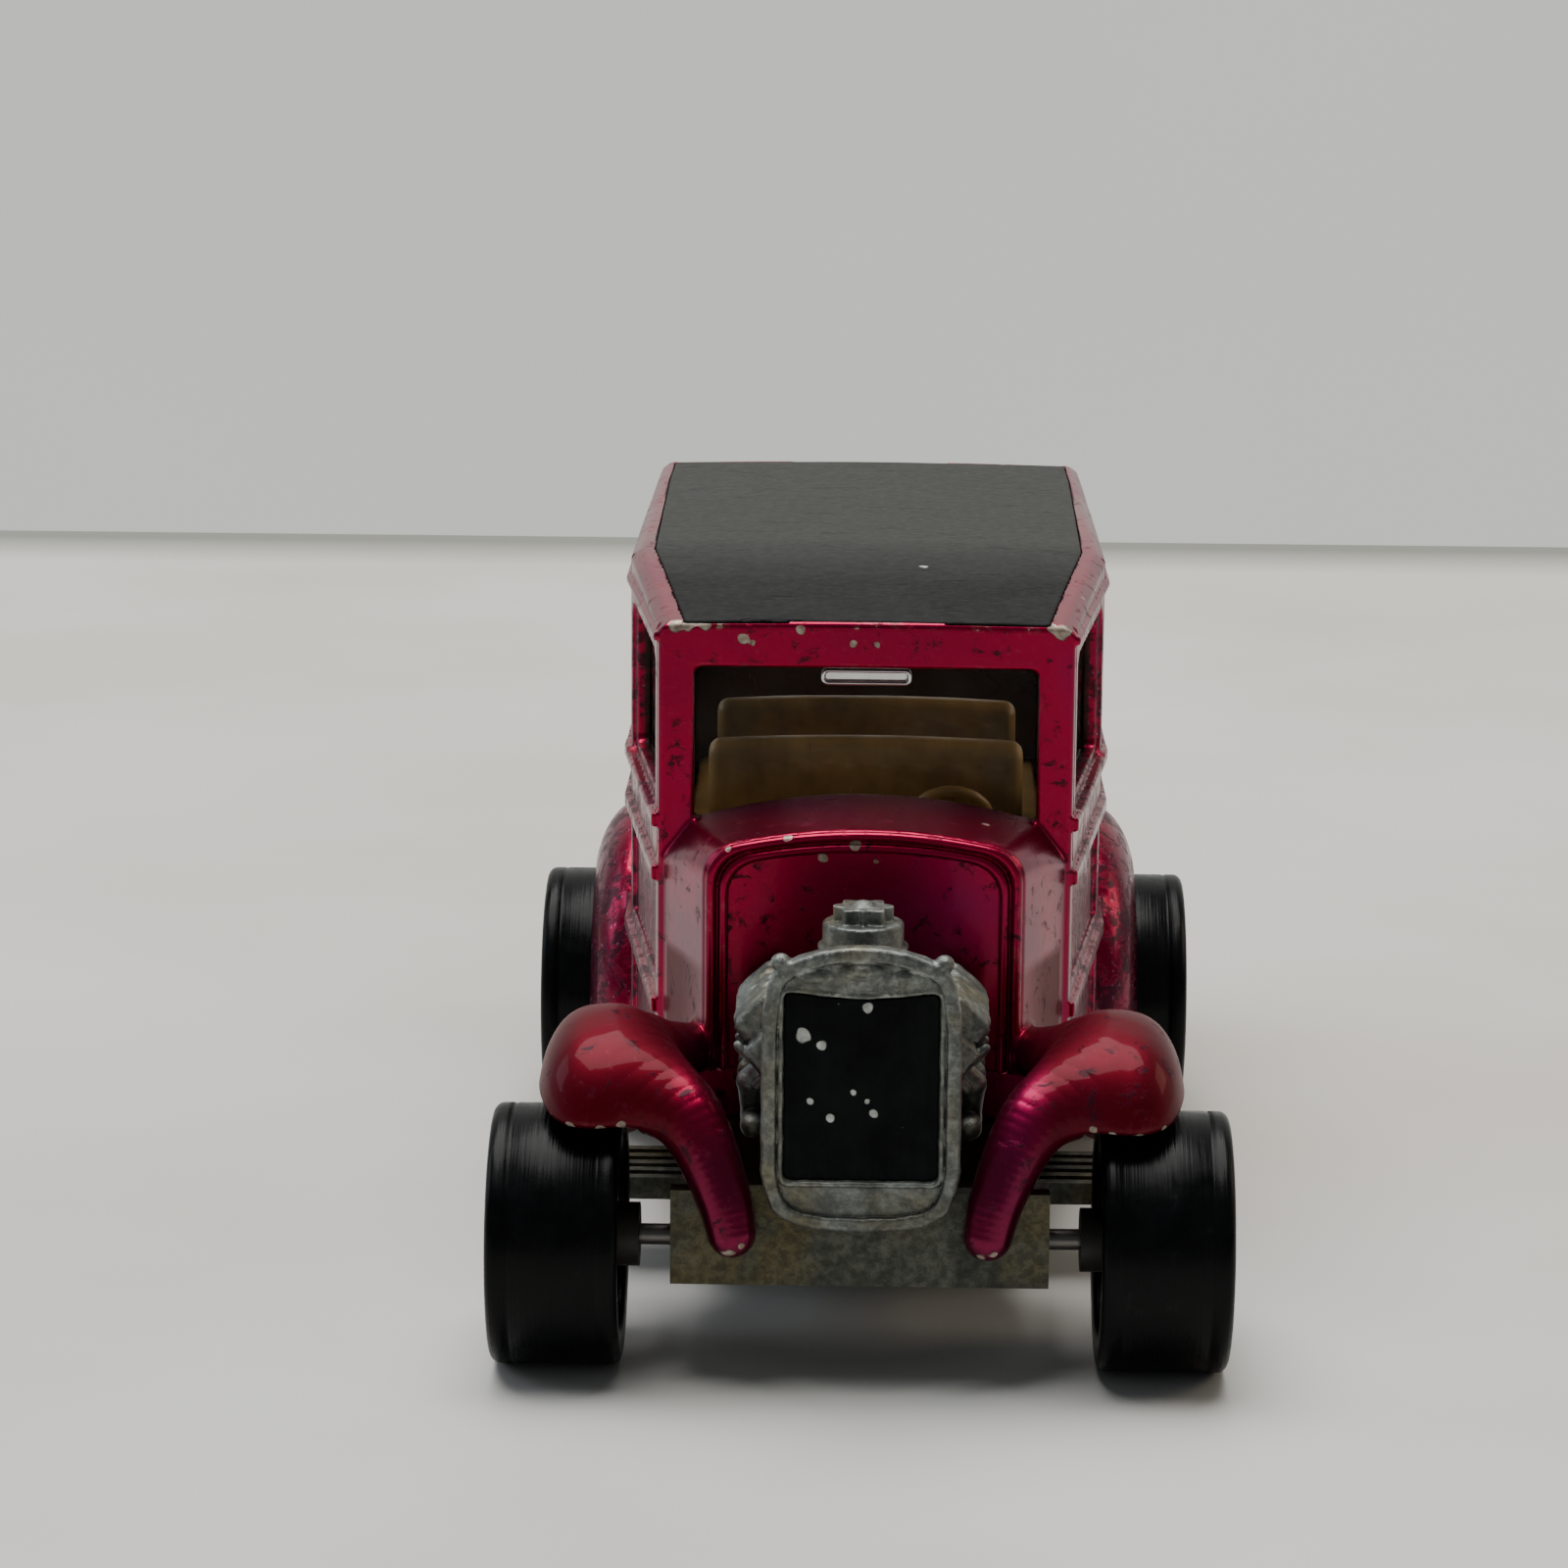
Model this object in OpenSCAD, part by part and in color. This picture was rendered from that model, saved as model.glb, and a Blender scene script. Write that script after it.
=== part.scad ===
// Small die-cast woody wagon with an open engine, free front wheels and a
// pull-back motor on the rear axle. Millimetres, +Z up, nose towards -Y.
// The origin is on the ground under the middle of the car. Stations along the
// car (names ending in _s) are measured rearwards from the front axle.

/* [Wheels and axles] */
// Distance between the front and rear axles
wheelbase = 40; // [40:0.5:42]
// Radius of the front tyres
front_tyre_r = 5.5; // [5.3:0.1:5.6]
// Width of the front tyres
front_tyre_w = 5.5; // [5:0.1:5.6]
// Radius of the rear tyres
rear_tyre_r = 6; // [5.8:0.1:6.2]
// Width of the rear tyres
rear_tyre_w = 6; // [5:0.1:6.4]
// Distance from the centre line to a tyre's inner face
tyre_inner_x = 10; // [9.9:0.1:10.3]
// Radius of the front axle wire
front_axle_r = 0.45; // [0.35:0.05:0.45]
// Radius of the rear axle
rear_axle_r = 0.5; // [0.4:0.05:0.5]
// Radial clearance of the parts that turn on a shaft
running_gap = 0.05; // [0.03:0.01:0.08]

/* [Cab] */
// Width of the cab behind the front door
cab_w = 22.4; // [22:0.2:23]
// Width of the cab at the windshield
cab_front_w = 18.3; // [18:0.1:18.8]
// Height of the roof above the ground
roof_z = 30.5; // [29.4:0.1:31]
// Thickness of the casting's walls
wall = 0.95; // [0.8:0.05:1]
// Station of the windshield
windshield_s = 12.5; // [12.2:0.1:12.8]
// Station of the rear panel
tail_s = 60; // [59:0.5:62]
// Height of the lower edge of the body sides
sill_z = 7; // [6:0.5:8]

/* [Motor gears] */
// Module of all the gears
gear_module = 0.3; // [0.28:0.01:0.3]
// Teeth of the pinion on the rear axle
axle_teeth = 10; // [10:1:11]
// Teeth of the large transfer wheel
transfer_teeth = 24; // [22:1:24]
// Teeth of the small transfer pinion
transfer_pinion_teeth = 10; // [10:1:11]
// Teeth of the spring drum's gear
drum_teeth = 26; // [24:1:26]
// Turns of the mainspring at rest
spring_turns = 5; // [3:1:5]

/* [Hidden] */
$fn = 64;

// Cuts run past a face by this much
past = 1;
// Gap between parts that are assembled face to face
fit_gap = 0.03;

// The frame: the tyres' front is the foremost point and the tail the rearmost
nose_y = -(front_tyre_r + tail_s) / 2;
front_axle_y = nose_y + front_tyre_r;

// Cab stations and widths
cab_half = cab_w / 2;
cab_front_half = cab_front_w / 2;
pillar_s = 28.4;
roof_front_drop = 0.8;
roof_tail_drop = 0.3;
roof_round = 0.5;
roof_thick = 1.2;
cover_border = 1.15;
cover_thick = 0.25;

// Cowl and firewall
firewall_s = 7;
cowl_front_half = 6.95;
cowl_back_half = 8.75;
cowl_bottom_z = 10.7;
cowl_crown_z = 21.5;
cowl_crown_r = 25.5;
cowl_facet = 27.9;
cowl_rise = 0.3;
cowl_overlap = 0.8;

// Window openings
window_top_z = 27.6;
window_sill_z = 21.2;
windshield_half = 7.58;
windshield_bottom_z = 20.6;
side_windows = [[14.6, 27.2], [29.6, 41.4], [43.8, 56.6]];
rear_window_half = 7.4;
glass_gap = 0.08;
glass_thick = 0.5;
glass_bottom_z = 19.6;

// Belt mouldings stand out of the body sides
moulding_out = 0.3;
moulding_h = 0.6;
moulding_zs = [12, 18.5, 20.3];

// Front fenders
fender_outer_x = 13.6;
fender_crown_z = 14.6;
fender_lip_z = 11.1;
fender_crown_r = 2.9;
arch_gap = 0.65;
horn_foot = [5.35, -4.4, 6.95];
horn_foot_r = 0.95;

// Rear fenders
rear_fender_out = 13.6;
rear_fender_top_z = 15.6;
rear_fender_bottom_z = 4.8;
rear_fender_round = 1.9;

// Chassis base
base_bottom_z = 3.4;
base_thick = 1;
base_front_bottom_z = 4.45;
base_front_top_z = 5;
base_half = 7.87;
base_rear_half = 8.9;
base_step_s = 10.6;
base_wide_s = 33;
base_tail_gap = 0.3;
rim_top_z = 6.9;
rim_thick = 0.9;
front_plate_s = -3.5;
front_plate_top_z = 8.5;
front_plate_bottom_z = 4.85;
plate_thick = 0.9;
axle_cheek_t = 1;
step_s = 11.5;
step_l = 5.6;
step_out_x = 12;
step_ribs = 5;
step_thick = 0.55;
step_rib_h = 0.45;
step_lift = 0.1;
axle_cheek_l = 5.6;
rear_axle_gap = 0.3;

// Radiator
radiator_half = 4.15;
radiator_bottom_z = 7;
radiator_top_z = 19.15;
radiator_corner_z = 17.9;
radiator_front_s = -4.6;
radiator_back_s = -1.9;
grille_half = 3.2;
grille_bottom_z = 9.2;
grille_top_z = 17.2;
grille_depth = 0.5;
grille_bars = 11;
grille_bar_h = 0.3;
grille_back_gap = 0.1;
cap_r = 0.42;
cap_h = 0.55;
cap_sunk = 0.3;

// Engine
engine_front_s = -1.5;
engine_back_s = 6.5;
block_half = 2.6;
head_tilt = 42;
head_at = [1.9, 12.5];
head_w = 3.2;
head_h = 3.1;
valve_cover_w = 2.4;
valve_cover_h = 1.1;
block_bottom_z = 6.4;
block_h = 7.6;
carb_s = 2;
header_ports = 4;
header_r = 0.48;
header_pitch = 1.7;
header_x = 4.5;
header_top_z = 13.2;
collector_z = 10.4;

// Rivets
rivet_r = 0.75;
rivet_head_r = 1.5;
rivet_head_h = 0.5;
rivet_stations = [9, 57.8];
post_r = 1.6;
post_gap = 0.15;
rivet_hole_h = 3;
rivet_h = 5.5;
post_top_z = 13.4;

// Motor: gear planes along X and the case around them
case_half = 5.2;
case_wall = 0.6;
case_front_s = wheelbase - 2.7;
case_back_s = wheelbase + 14.6;
case_bottom_z = 3.5;
case_top_z = 13.4;
case_hole_gap = 0.15;
case_tab_l = 2.6;
case_tab_out = 1.9;
case_tab_in = 0.2;
case_tab_h = 0.8;
shaft_end_gap = 0.1;
mesh_gap = 0.02;
axle_pinion_x = -3.8;
axle_pinion_w = 2.5;
transfer_wheel_x = -3.3;
transfer_wheel_w = 1.4;
transfer_pinion_w = 2.3;
drum_gear_x = -1.3;
drum_gear_w = 1.2;
drum_cup_x = 0.7;
drum_cup_end_x = 4.2;
drum_cup_r = 4;
shaft_r = 0.4;
arbor_r = 0.8;
spring_strip = 0.18;
spring_inner_r = 1.05;
spring_outer_r = 3.35;

// Gear geometry: stub teeth at 25 degrees, so that ten teeth are not undercut
pressure_angle = 25;
addendum = 0.8;
dedendum = 1.05;
backlash = 0.05;
flank_steps = 4;

transfer_dir = 35;
drum_dir = -5;
axle_at = [wheelbase, rear_tyre_r];
transfer_dist = gear_module * (axle_teeth + transfer_teeth) / 2 + mesh_gap;
transfer_at = axle_at + transfer_dist * [cos(transfer_dir), sin(transfer_dir)];
drum_dist = gear_module * (transfer_pinion_teeth + drum_teeth) / 2 + mesh_gap;
drum_at = transfer_at + drum_dist * [cos(drum_dir), sin(drum_dir)];

// Moves a part from stations into the car's own frame
module placed() translate([0, front_axle_y, 0]) children();

// Turns a drawing of (station, height) into a solid that runs along +X from x0
module along_x(x0, w) translate([x0, 0, 0]) rotate([90, 0, 90]) linear_extrude(w) children();

// Turns a drawing of (x, height) into a solid that runs rearwards from station s
module along_y(s, l) translate([0, s + l, 0]) rotate([90, 0, 0]) linear_extrude(l) children();

// Both sides of the car: the children are drawn on the +X side
module both_sides() {
    children();
    mirror([1, 0, 0]) children();
}

// ---- cab, roof and glass ----

// Plan of the cab, drawn in by the inset g
function cab_plan(g) = [
    [-(cab_front_half - g), windshield_s + g],
    [cab_front_half - g, windshield_s + g],
    [cab_half - g, pillar_s],
    [cab_half - g, tail_s - g],
    [-(cab_half - g), tail_s - g],
    [-(cab_half - g), pillar_s]];

// Side profile of the cab between a bottom height and the roof, drawn in by g
function cab_profile(bottom, g) = [
    [windshield_s + g, bottom],
    [windshield_s + g, roof_z - roof_front_drop - roof_round - g],
    [windshield_s + g + roof_round, roof_z - roof_front_drop - g],
    [pillar_s, roof_z - g],
    [tail_s - g - roof_round, roof_z - roof_tail_drop - g],
    [tail_s - g, roof_z - roof_tail_drop - roof_round - g],
    [tail_s - g, bottom]];

module cab_solid(bottom, g, top_g) {
    intersection() {
        linear_extrude(roof_z + past) polygon(cab_plan(g));
        along_x(-cab_w, 2 * cab_w) polygon(cab_profile(bottom, top_g));
    }
}

module roof_cover_shape(gap, drop) {
    intersection() {
        linear_extrude(roof_z + past) polygon(cab_plan(cover_border - gap));
        difference() {
            along_x(-cab_w, 2 * cab_w) polygon(cab_profile(sill_z, 0));
            along_x(-cab_w - past, 2 * cab_w + 2 * past)
                polygon(cab_profile(sill_z - past, cover_thick + drop));
        }
        translate([-cab_w, windshield_s + roof_round, sill_z]) cube([2 * cab_w, tail_s, roof_z]);
    }
}

module window_cuts() {
    along_y(windshield_s - past, 3 * past) {
        translate([-windshield_half, windshield_bottom_z])
            square([2 * windshield_half, window_top_z - windshield_bottom_z]);
    }
    for (w = side_windows) {
        translate([-cab_w, w[0], window_sill_z])
            cube([2 * cab_w, w[1] - w[0], window_top_z - window_sill_z]);
    }
    translate([-rear_window_half, tail_s - 2 * past, window_sill_z])
        cube([2 * rear_window_half, 3 * past, window_top_z - window_sill_z]);
}

module belt_mouldings() {
    for (z = moulding_zs) {
        translate([0, 0, z]) linear_extrude(moulding_h) difference() {
            polygon(cab_plan(-moulding_out));
            translate([-cab_w, 0]) square([2 * cab_w, windshield_s]);
            translate([-cab_w, tail_s]) square([2 * cab_w, 2 * past]);
        }
    }
}

// Cowl: sides that flare towards the windshield, under a crowned top
module cowl_plan(g) {
    polygon([
        [-(cowl_front_half - g), firewall_s + g],
        [cowl_front_half - g, firewall_s + g],
        [cowl_back_half - g, windshield_s + cowl_overlap],
        [-(cowl_back_half - g), windshield_s + cowl_overlap]]);
}

cowl_tilt = atan(cowl_rise / (windshield_s - firewall_s));

// The crown's circle, with a facet where it meets the sides
module cowl_section(g) {
    side_z = cowl_facet - cowl_back_half - g;
    intersection() {
        translate([0, cowl_crown_z - cowl_crown_r]) circle(cowl_crown_r - g, $fn = 160);
        polygon([
            [-cowl_back_half, -past], [cowl_back_half, -past], [cowl_back_half, side_z],
            [0, cowl_facet - g], [-cowl_back_half, side_z]]);
    }
}

module cowl_solid(g) {
    intersection() {
        translate([0, 0, cowl_bottom_z - g]) linear_extrude(roof_z) cowl_plan(g);
        translate([0, firewall_s, cowl_crown_z]) rotate([cowl_tilt, 0, 0]) translate([0, 0, -cowl_crown_z])
            along_y(-cowl_crown_z / 2, 2 * cowl_crown_z) cowl_section(g);
    }
}

// ---- fenders ----

module front_fender_dome() {
    hull() {
        translate([fender_outer_x - fender_crown_r, 2.4, fender_crown_z - fender_crown_r])
            sphere(fender_crown_r, $fn = 32);
        translate([fender_outer_x - 2.1, -0.9, fender_lip_z + 0.2]) sphere(2.1, $fn = 32);
        translate([9.2, -1.2, fender_lip_z + 0.3]) sphere(1.9, $fn = 24);
        translate([11.6, 7.8, 9.6]) sphere(1.9, $fn = 24);
        translate([8.2, 7.6, 10.4]) sphere(1.6, $fn = 24);
    }
}

module front_fender_horn() {
    hull() {
        translate(horn_foot) sphere(horn_foot_r, $fn = 24);
        translate([6.4, -3, 10.2]) sphere(1.25, $fn = 24);
        translate([8.4, -1.4, 12]) sphere(1.6, $fn = 24);
        translate([8.9, 2.2, 12.7]) sphere(1.5, $fn = 24);
        translate([7.3, 7.9, 11.6]) sphere(1.1, $fn = 24);
    }
}

module front_fender() {
    difference() {
        union() {
            front_fender_dome();
            front_fender_horn();
        }
        // room for the tyre to turn, and the open underside
        translate([tyre_inner_x - arch_gap, 0, front_tyre_r]) rotate([0, 90, 0])
            cylinder(r = front_tyre_r + arch_gap, h = fender_outer_x);
        translate([tyre_inner_x - arch_gap, -front_tyre_r, 0])
            cube([fender_outer_x, 2 * front_tyre_r, fender_lip_z]);
        translate([0, front_plate_s - fit_gap, 0])
            cube([base_half + fit_gap, -front_plate_s + plate_thick, front_plate_top_z + fit_gap]);
    }
}

module rear_fender() {
    // the section starts inside the arch and the wall, which trim it later
    arch_r = rear_tyre_r;
    crown_r = rear_fender_top_z - rear_tyre_r;
    inner_x = cab_half - wall / 2;
    translate([0, wheelbase, rear_tyre_r]) rotate([90, 0, 90])
        rotate_extrude(angle = 180, $fn = 96) rear_fender_section(arch_r, crown_r, inner_x);
    // the arch's two ends drop straight to the fender's lower edge
    for (side = [0, 1]) {
        translate([0, wheelbase, rear_fender_bottom_z]) mirror([0, side, 0]) mirror([1, -1, 0])
            linear_extrude(rear_tyre_r - rear_fender_bottom_z)
                rear_fender_section(arch_r, crown_r, inner_x);
    }
}

// Radius from the axle along X, distance from the centre line along Y
module rear_fender_section(arch_r, crown_r, inner_x) {
    translate([arch_r, inner_x]) square([crown_r - rear_fender_round - arch_r, rear_fender_out - inner_x]);
    translate([arch_r, inner_x]) square([crown_r - arch_r, rear_fender_out - rear_fender_round - inner_x]);
    translate([crown_r - rear_fender_round, rear_fender_out - rear_fender_round])
        circle(rear_fender_round, $fn = 48);
}

module wheel_arches() {
    translate([tyre_inner_x - arch_gap, wheelbase, rear_tyre_r]) rotate([0, 90, 0])
        cylinder(r = rear_tyre_r + arch_gap, h = fender_outer_x, $fn = 96);
    translate([tyre_inner_x - arch_gap, wheelbase - rear_tyre_r - arch_gap, 0])
        cube([fender_outer_x, 2 * (rear_tyre_r + arch_gap), rear_tyre_r]);
}

module rivet_post(s, bottom) translate([0, s, bottom]) cylinder(r = post_r, h = post_top_z - bottom);

module body_shell() placed() color([0.62, 0.04, 0.2]) {
    difference() {
        union() {
            difference() {
                union() {
                    cab_solid(sill_z, 0, 0);
                    belt_mouldings();
                }
                cab_solid(sill_z - past, wall, roof_thick);
                window_cuts();
            }
            difference() {
                cowl_solid(0);
                cowl_solid(wall);
            }
            both_sides() rear_fender();
            both_sides() front_fender();
            rivet_post(rivet_stations[0], base_front_top_z + fit_gap);
            rivet_post(rivet_stations[1], base_bottom_z + base_thick + fit_gap);
        }
        both_sides() wheel_arches();
        roof_cover_shape(fit_gap, fit_gap);
        for (s = rivet_stations) translate([0, s, 0]) cylinder(r = rivet_r + fit_gap, h = post_top_z - 2);
    }
}

module roof_cover() placed() color([0.06, 0.06, 0.07]) roof_cover_shape(0, 0);

module window_glazing() placed() color([0.85, 0.88, 0.85, 0.4]) {
    g = wall + glass_gap;
    difference() {
        cab_solid(glass_bottom_z, g, roof_thick + glass_gap);
        cab_solid(glass_bottom_z - past, g + glass_thick, roof_thick + glass_gap + glass_thick);
    }
    // moulded mirror under the header
    translate([-2, windshield_s + g + glass_thick / 2, window_top_z - 1]) cube([4, 0.8, 0.95]);
}

// ---- interior ----

tub_half = 9;
tub_gap = 0.2;
tub_front_s = 14;
tub_floor_z = 9.6;
tub_thick = 0.7;
seat_half = 7.3;
seat_w = 2 * seat_half;
front_seat_s = 24;
front_seat_top_z = 22.4;
rear_seat_s = 36;
rear_seat_top_z = 22;
cargo_floor_z = case_top_z + fit_gap;
wheel_at = [3.9, 18.2, 19.6];
wheel_rim_r = 2;

module seat(back_s, top_z, cushion_z, cushion_l) {
    translate([-seat_half, back_s - 1.6, cushion_z - 2]) cube([seat_w, 1.6, top_z - cushion_z + 2]);
    translate([-seat_half, back_s - cushion_l, cushion_z - 2]) cube([seat_w, cushion_l, 2.6]);
}

module interior_tub() placed() color([0.36, 0.27, 0.12]) {
    intersection() {
        tub_and_seats();
        linear_extrude(roof_z) polygon(cab_plan(wall + tub_gap));
    }
}

module tub_and_seats() {
    // front floor, riser in front of the motor, cargo floor over it
    translate([-tub_half, tub_front_s, tub_floor_z])
        cube([2 * tub_half, case_front_s - tub_front_s, tub_thick]);
    translate([-tub_half, case_front_s - 1.8, tub_floor_z])
        cube([2 * tub_half, 1.2, cargo_floor_z + tub_thick - tub_floor_z]);
    translate([-tub_half, case_front_s - 1.8, cargo_floor_z])
        cube([2 * tub_half, tail_s - case_front_s - 1, tub_thick]);
    // seats, and the pedestals under their cushions
    seat(front_seat_s, front_seat_top_z, 15.6, 6.5);
    translate([-seat_half, front_seat_s - 5.5, tub_floor_z]) cube([seat_w, 5.5, 5]);
    seat(rear_seat_s, rear_seat_top_z, 15.6, 6.2);
    translate([-seat_half, rear_seat_s - 5.2, tub_floor_z]) cube([seat_w, 5.2, 5]);
    // dashboard, steering column and wheel
    translate([-seat_half, tub_front_s, tub_floor_z]) cube([seat_w, 1.2, 9.4]);
    translate(wheel_at) rotate([-60, 0, 0]) {
        rotate_extrude($fn = 48) translate([wheel_rim_r - 0.28, 0]) circle(0.28, $fn = 16);
        for (a = [90, 210, 330]) rotate([0, 0, a])
            translate([0, -0.2, -0.15]) cube([wheel_rim_r - 0.3, 0.4, 0.3]);
        translate([0, 0, -4.2]) cylinder(r = 0.45, h = 4.4);
    }
}

// ---- chassis ----

module chassis_step() {
    out = step_out_x - base_half + past;
    pitch = step_l / step_ribs;
    translate([base_half - past, step_s, base_bottom_z + step_lift]) cube([out, step_l, step_thick]);
    for (i = [0 : step_ribs - 1]) {
        translate([base_half - past, step_s + i * pitch, base_bottom_z + step_lift])
            cube([out, pitch / 2, step_thick + step_rib_h]);
    }
}

// A floor with a rim along both sides and, where end_rim is not zero, across its rear
module base_pan(half, s, length, end_rim) {
    rim_h = rim_top_z - base_bottom_z;
    end_h = end_rim > 0 ? rim_h : base_thick;
    translate([-half, s, base_bottom_z]) cube([2 * half, length, base_thick]);
    both_sides() translate([half - rim_thick, s, base_bottom_z]) cube([rim_thick, length, rim_h]);
    translate([-half, s + length - end_rim, base_bottom_z]) cube([2 * half, end_rim + fit_gap, end_h]);
}

module chassis_base() placed() color([0.42, 0.41, 0.38]) {
    difference() {
        union() {
            // pan with an upright rim: narrow behind the nose, wide at the motor
            base_pan(base_half, base_step_s, base_wide_s - base_step_s + rim_thick, 0);
            base_pan(base_rear_half, base_wide_s, tail_s - wall - base_tail_gap - base_wide_s, rim_thick);
            // front channel: floor, side rails and front plate
            translate([-base_half, front_plate_s, base_front_bottom_z])
                cube([2 * base_half, base_step_s - front_plate_s + past,
                    base_front_top_z - base_front_bottom_z]);
            both_sides() translate([base_half - axle_cheek_t, front_plate_s, base_front_bottom_z])
                cube([axle_cheek_t, axle_cheek_l, front_plate_top_z - past - base_front_bottom_z]);
            translate([-base_half, front_plate_s, front_plate_bottom_z])
                cube([2 * base_half, plate_thick, front_plate_top_z - front_plate_bottom_z]);
            both_sides() chassis_step();
        }
        // front axle bearings
        translate([-base_half - past, 0, front_tyre_r]) rotate([0, 90, 0])
            cylinder(r = front_axle_r + fit_gap, h = 2 * (base_half + past));
        // the rear axle passes through the rim
        translate([-base_rear_half - past, wheelbase, rear_tyre_r]) rotate([0, 90, 0])
            cylinder(r = rear_axle_r + rear_axle_gap, h = 2 * (base_rear_half + past));
        // rivet holes with sunk heads
        translate([0, rivet_stations[0], base_front_bottom_z - past])
            cylinder(r = rivet_r + fit_gap, h = rivet_hole_h);
        translate([0, rivet_stations[1], base_bottom_z - past]) {
            cylinder(r = rivet_r + fit_gap, h = rivet_hole_h);
            cylinder(r = rivet_head_r + fit_gap, h = past + rivet_head_h + fit_gap);
        }
        // the body's rear post stands in a notch in the rim
        translate([0, rivet_stations[1], base_bottom_z + base_thick])
            cylinder(r = post_r + post_gap, h = rim_top_z);
        // the motor stands in this opening
        translate([-case_half - case_hole_gap, case_front_s - case_hole_gap, base_bottom_z - past])
            cube([2 * (case_half + case_hole_gap), case_back_s - case_front_s + 2 * case_hole_gap,
                base_thick + 2 * past]);
    }
}

// A rivet's head is under the base and its shank stands in the body's post
module rivet(s, head_z) {
    translate([0, s, head_z]) {
        cylinder(r = rivet_head_r, h = rivet_head_h);
        cylinder(r = rivet_r, h = rivet_h);
    }
}

module chassis_rivets() placed() color([0.55, 0.54, 0.5]) {
    rivet(rivet_stations[0], base_front_bottom_z - rivet_head_h - fit_gap);
    rivet(rivet_stations[1], base_bottom_z);
}

// ---- radiator and engine ----

radiator_top_r = 8.5;
radiator_bottom_r = 7.2;

module radiator_outline(g) {
    intersection() {
        translate([-(radiator_half - g), radiator_bottom_z])
            square([2 * (radiator_half - g), radiator_top_z - radiator_bottom_z]);
        translate([0, radiator_top_z - radiator_top_r]) circle(radiator_top_r - g, $fn = 120);
        translate([-radiator_top_r, radiator_bottom_z + radiator_bottom_r])
            square([2 * radiator_top_r, radiator_top_z]);
    }
    intersection() {
        translate([0, radiator_bottom_z + radiator_bottom_r]) circle(radiator_bottom_r - g, $fn = 120);
        translate([-(radiator_half - g), 0])
            square([2 * (radiator_half - g), radiator_bottom_z + radiator_bottom_r]);
    }
}

module grille_outline(g) {
    translate([-(grille_half - g), grille_bottom_z + g])
        square([2 * (grille_half - g), grille_top_z - grille_bottom_z - 2 * g]);
}

module radiator_shell() placed() color([0.45, 0.45, 0.42]) {
    difference() {
        along_y(radiator_front_s, front_plate_s - radiator_front_s - fit_gap) radiator_outline(0);
        along_y(radiator_front_s - past, past + grille_depth + grille_back_gap) grille_outline(0);
    }
    // the core behind the shell stands on the front plate
    along_y(front_plate_s - 0.2, radiator_back_s - front_plate_s + 0.2)
        translate([-grille_half, front_plate_top_z + fit_gap])
            square([2 * grille_half, radiator_corner_z - front_plate_top_z - 0.4]);
    // filler cap
    translate([0, (radiator_front_s + front_plate_s) / 2, radiator_top_z - cap_sunk])
        cylinder(r = cap_r, h = cap_h);
}

module radiator_grille() placed() color([0.05, 0.05, 0.05]) {
    bar_pitch = 2 * (grille_half - fit_gap) / grille_bars;
    bar_h = grille_top_z - grille_bottom_z - 2 * fit_gap;
    along_y(radiator_front_s + grille_bar_h, grille_depth + grille_back_gap - grille_bar_h - fit_gap)
        grille_outline(fit_gap);
    translate([-grille_half + fit_gap, radiator_front_s + grille_back_gap, grille_bottom_z + fit_gap]) {
        for (i = [0 : grille_bars - 1]) {
            translate([(i + 0.25) * bar_pitch, 0, 0]) cube([bar_pitch / 2, grille_bar_h, bar_h]);
        }
    }
}

module engine_head() {
    // one bank: head casting and a valve cover on top of it
    length = engine_back_s - engine_front_s - 1;
    translate([head_at[0], engine_front_s + 0.5, head_at[1]]) rotate([0, head_tilt, 0]) {
        translate([-head_w / 2, 0, 0]) cube([head_w, length, head_h]);
        translate([-valve_cover_w / 2, 0.4, head_h - 0.1])
            cube([valve_cover_w, length - 0.8, valve_cover_h]);
    }
}

module engine_block() placed() color([0.46, 0.45, 0.42]) {
    length = engine_back_s - engine_front_s;
    translate([-block_half, engine_front_s, block_bottom_z]) cube([2 * block_half, length, block_h]);
    both_sides() engine_head();
    // legs behind the axle, gearbox, intake manifold, timing cover and fan
    translate([-block_half, 2.2, base_front_top_z + fit_gap]) cube([2 * block_half, 3.4, 2]);
    translate([-1.9, engine_front_s + 1.2, 13.6]) cube([3.8, length - 2.4, 3.2]);
    translate([0, carb_s, 16]) cylinder(r = 1.2, h = 1.5);
    translate([0, engine_front_s + 0.05, 9.6]) rotate([90, 0, 0]) cylinder(r = 2, h = 0.3);
}

module air_cleaner() placed() color([0.5, 0.5, 0.46]) {
    translate([0, carb_s, 17.5 + fit_gap]) {
        cylinder(r = 1.85, h = 1.25);
        translate([0, 0, 1.2]) cylinder(r1 = 1.5, r2 = 1.1, h = 0.7);
        for (a = [0 : 45 : 315]) rotate([0, 0, a]) translate([1.15, 0, 1]) cylinder(r = 0.3, h = 0.7);
        translate([0, 0, 1.7]) cylinder(r = 0.35, h = 0.45);
    }
}

module header_pipes() {
    // each pipe is cut to the underside of the cylinder head
    difference() {
        for (i = [0 : header_ports - 1]) {
            translate([header_x, engine_front_s + 1.2 + i * header_pitch, collector_z])
                cylinder(r = header_r, h = header_top_z - collector_z);
        }
        engine_head();
    }
    translate([header_x, engine_front_s + 0.6, collector_z]) rotate([-90, 0, 0])
        cylinder(r = header_r * 1.2, h = engine_back_s - engine_front_s - 1.2);
}

module left_header() placed() color([0.5, 0.49, 0.46]) header_pipes();
module right_header() placed() color([0.5, 0.49, 0.46]) mirror([1, 0, 0]) header_pipes();

// ---- wheels ----

// Places a wheel part on the +X side (side 1) or the -X side (side -1)
module wheel_at_side(side, s, r) {
    placed() translate([0, s, r]) mirror([side < 0 ? 1 : 0, 0, 0]) translate([tyre_inner_x, 0, 0])
        rotate([0, 90, 0]) children();
}

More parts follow.
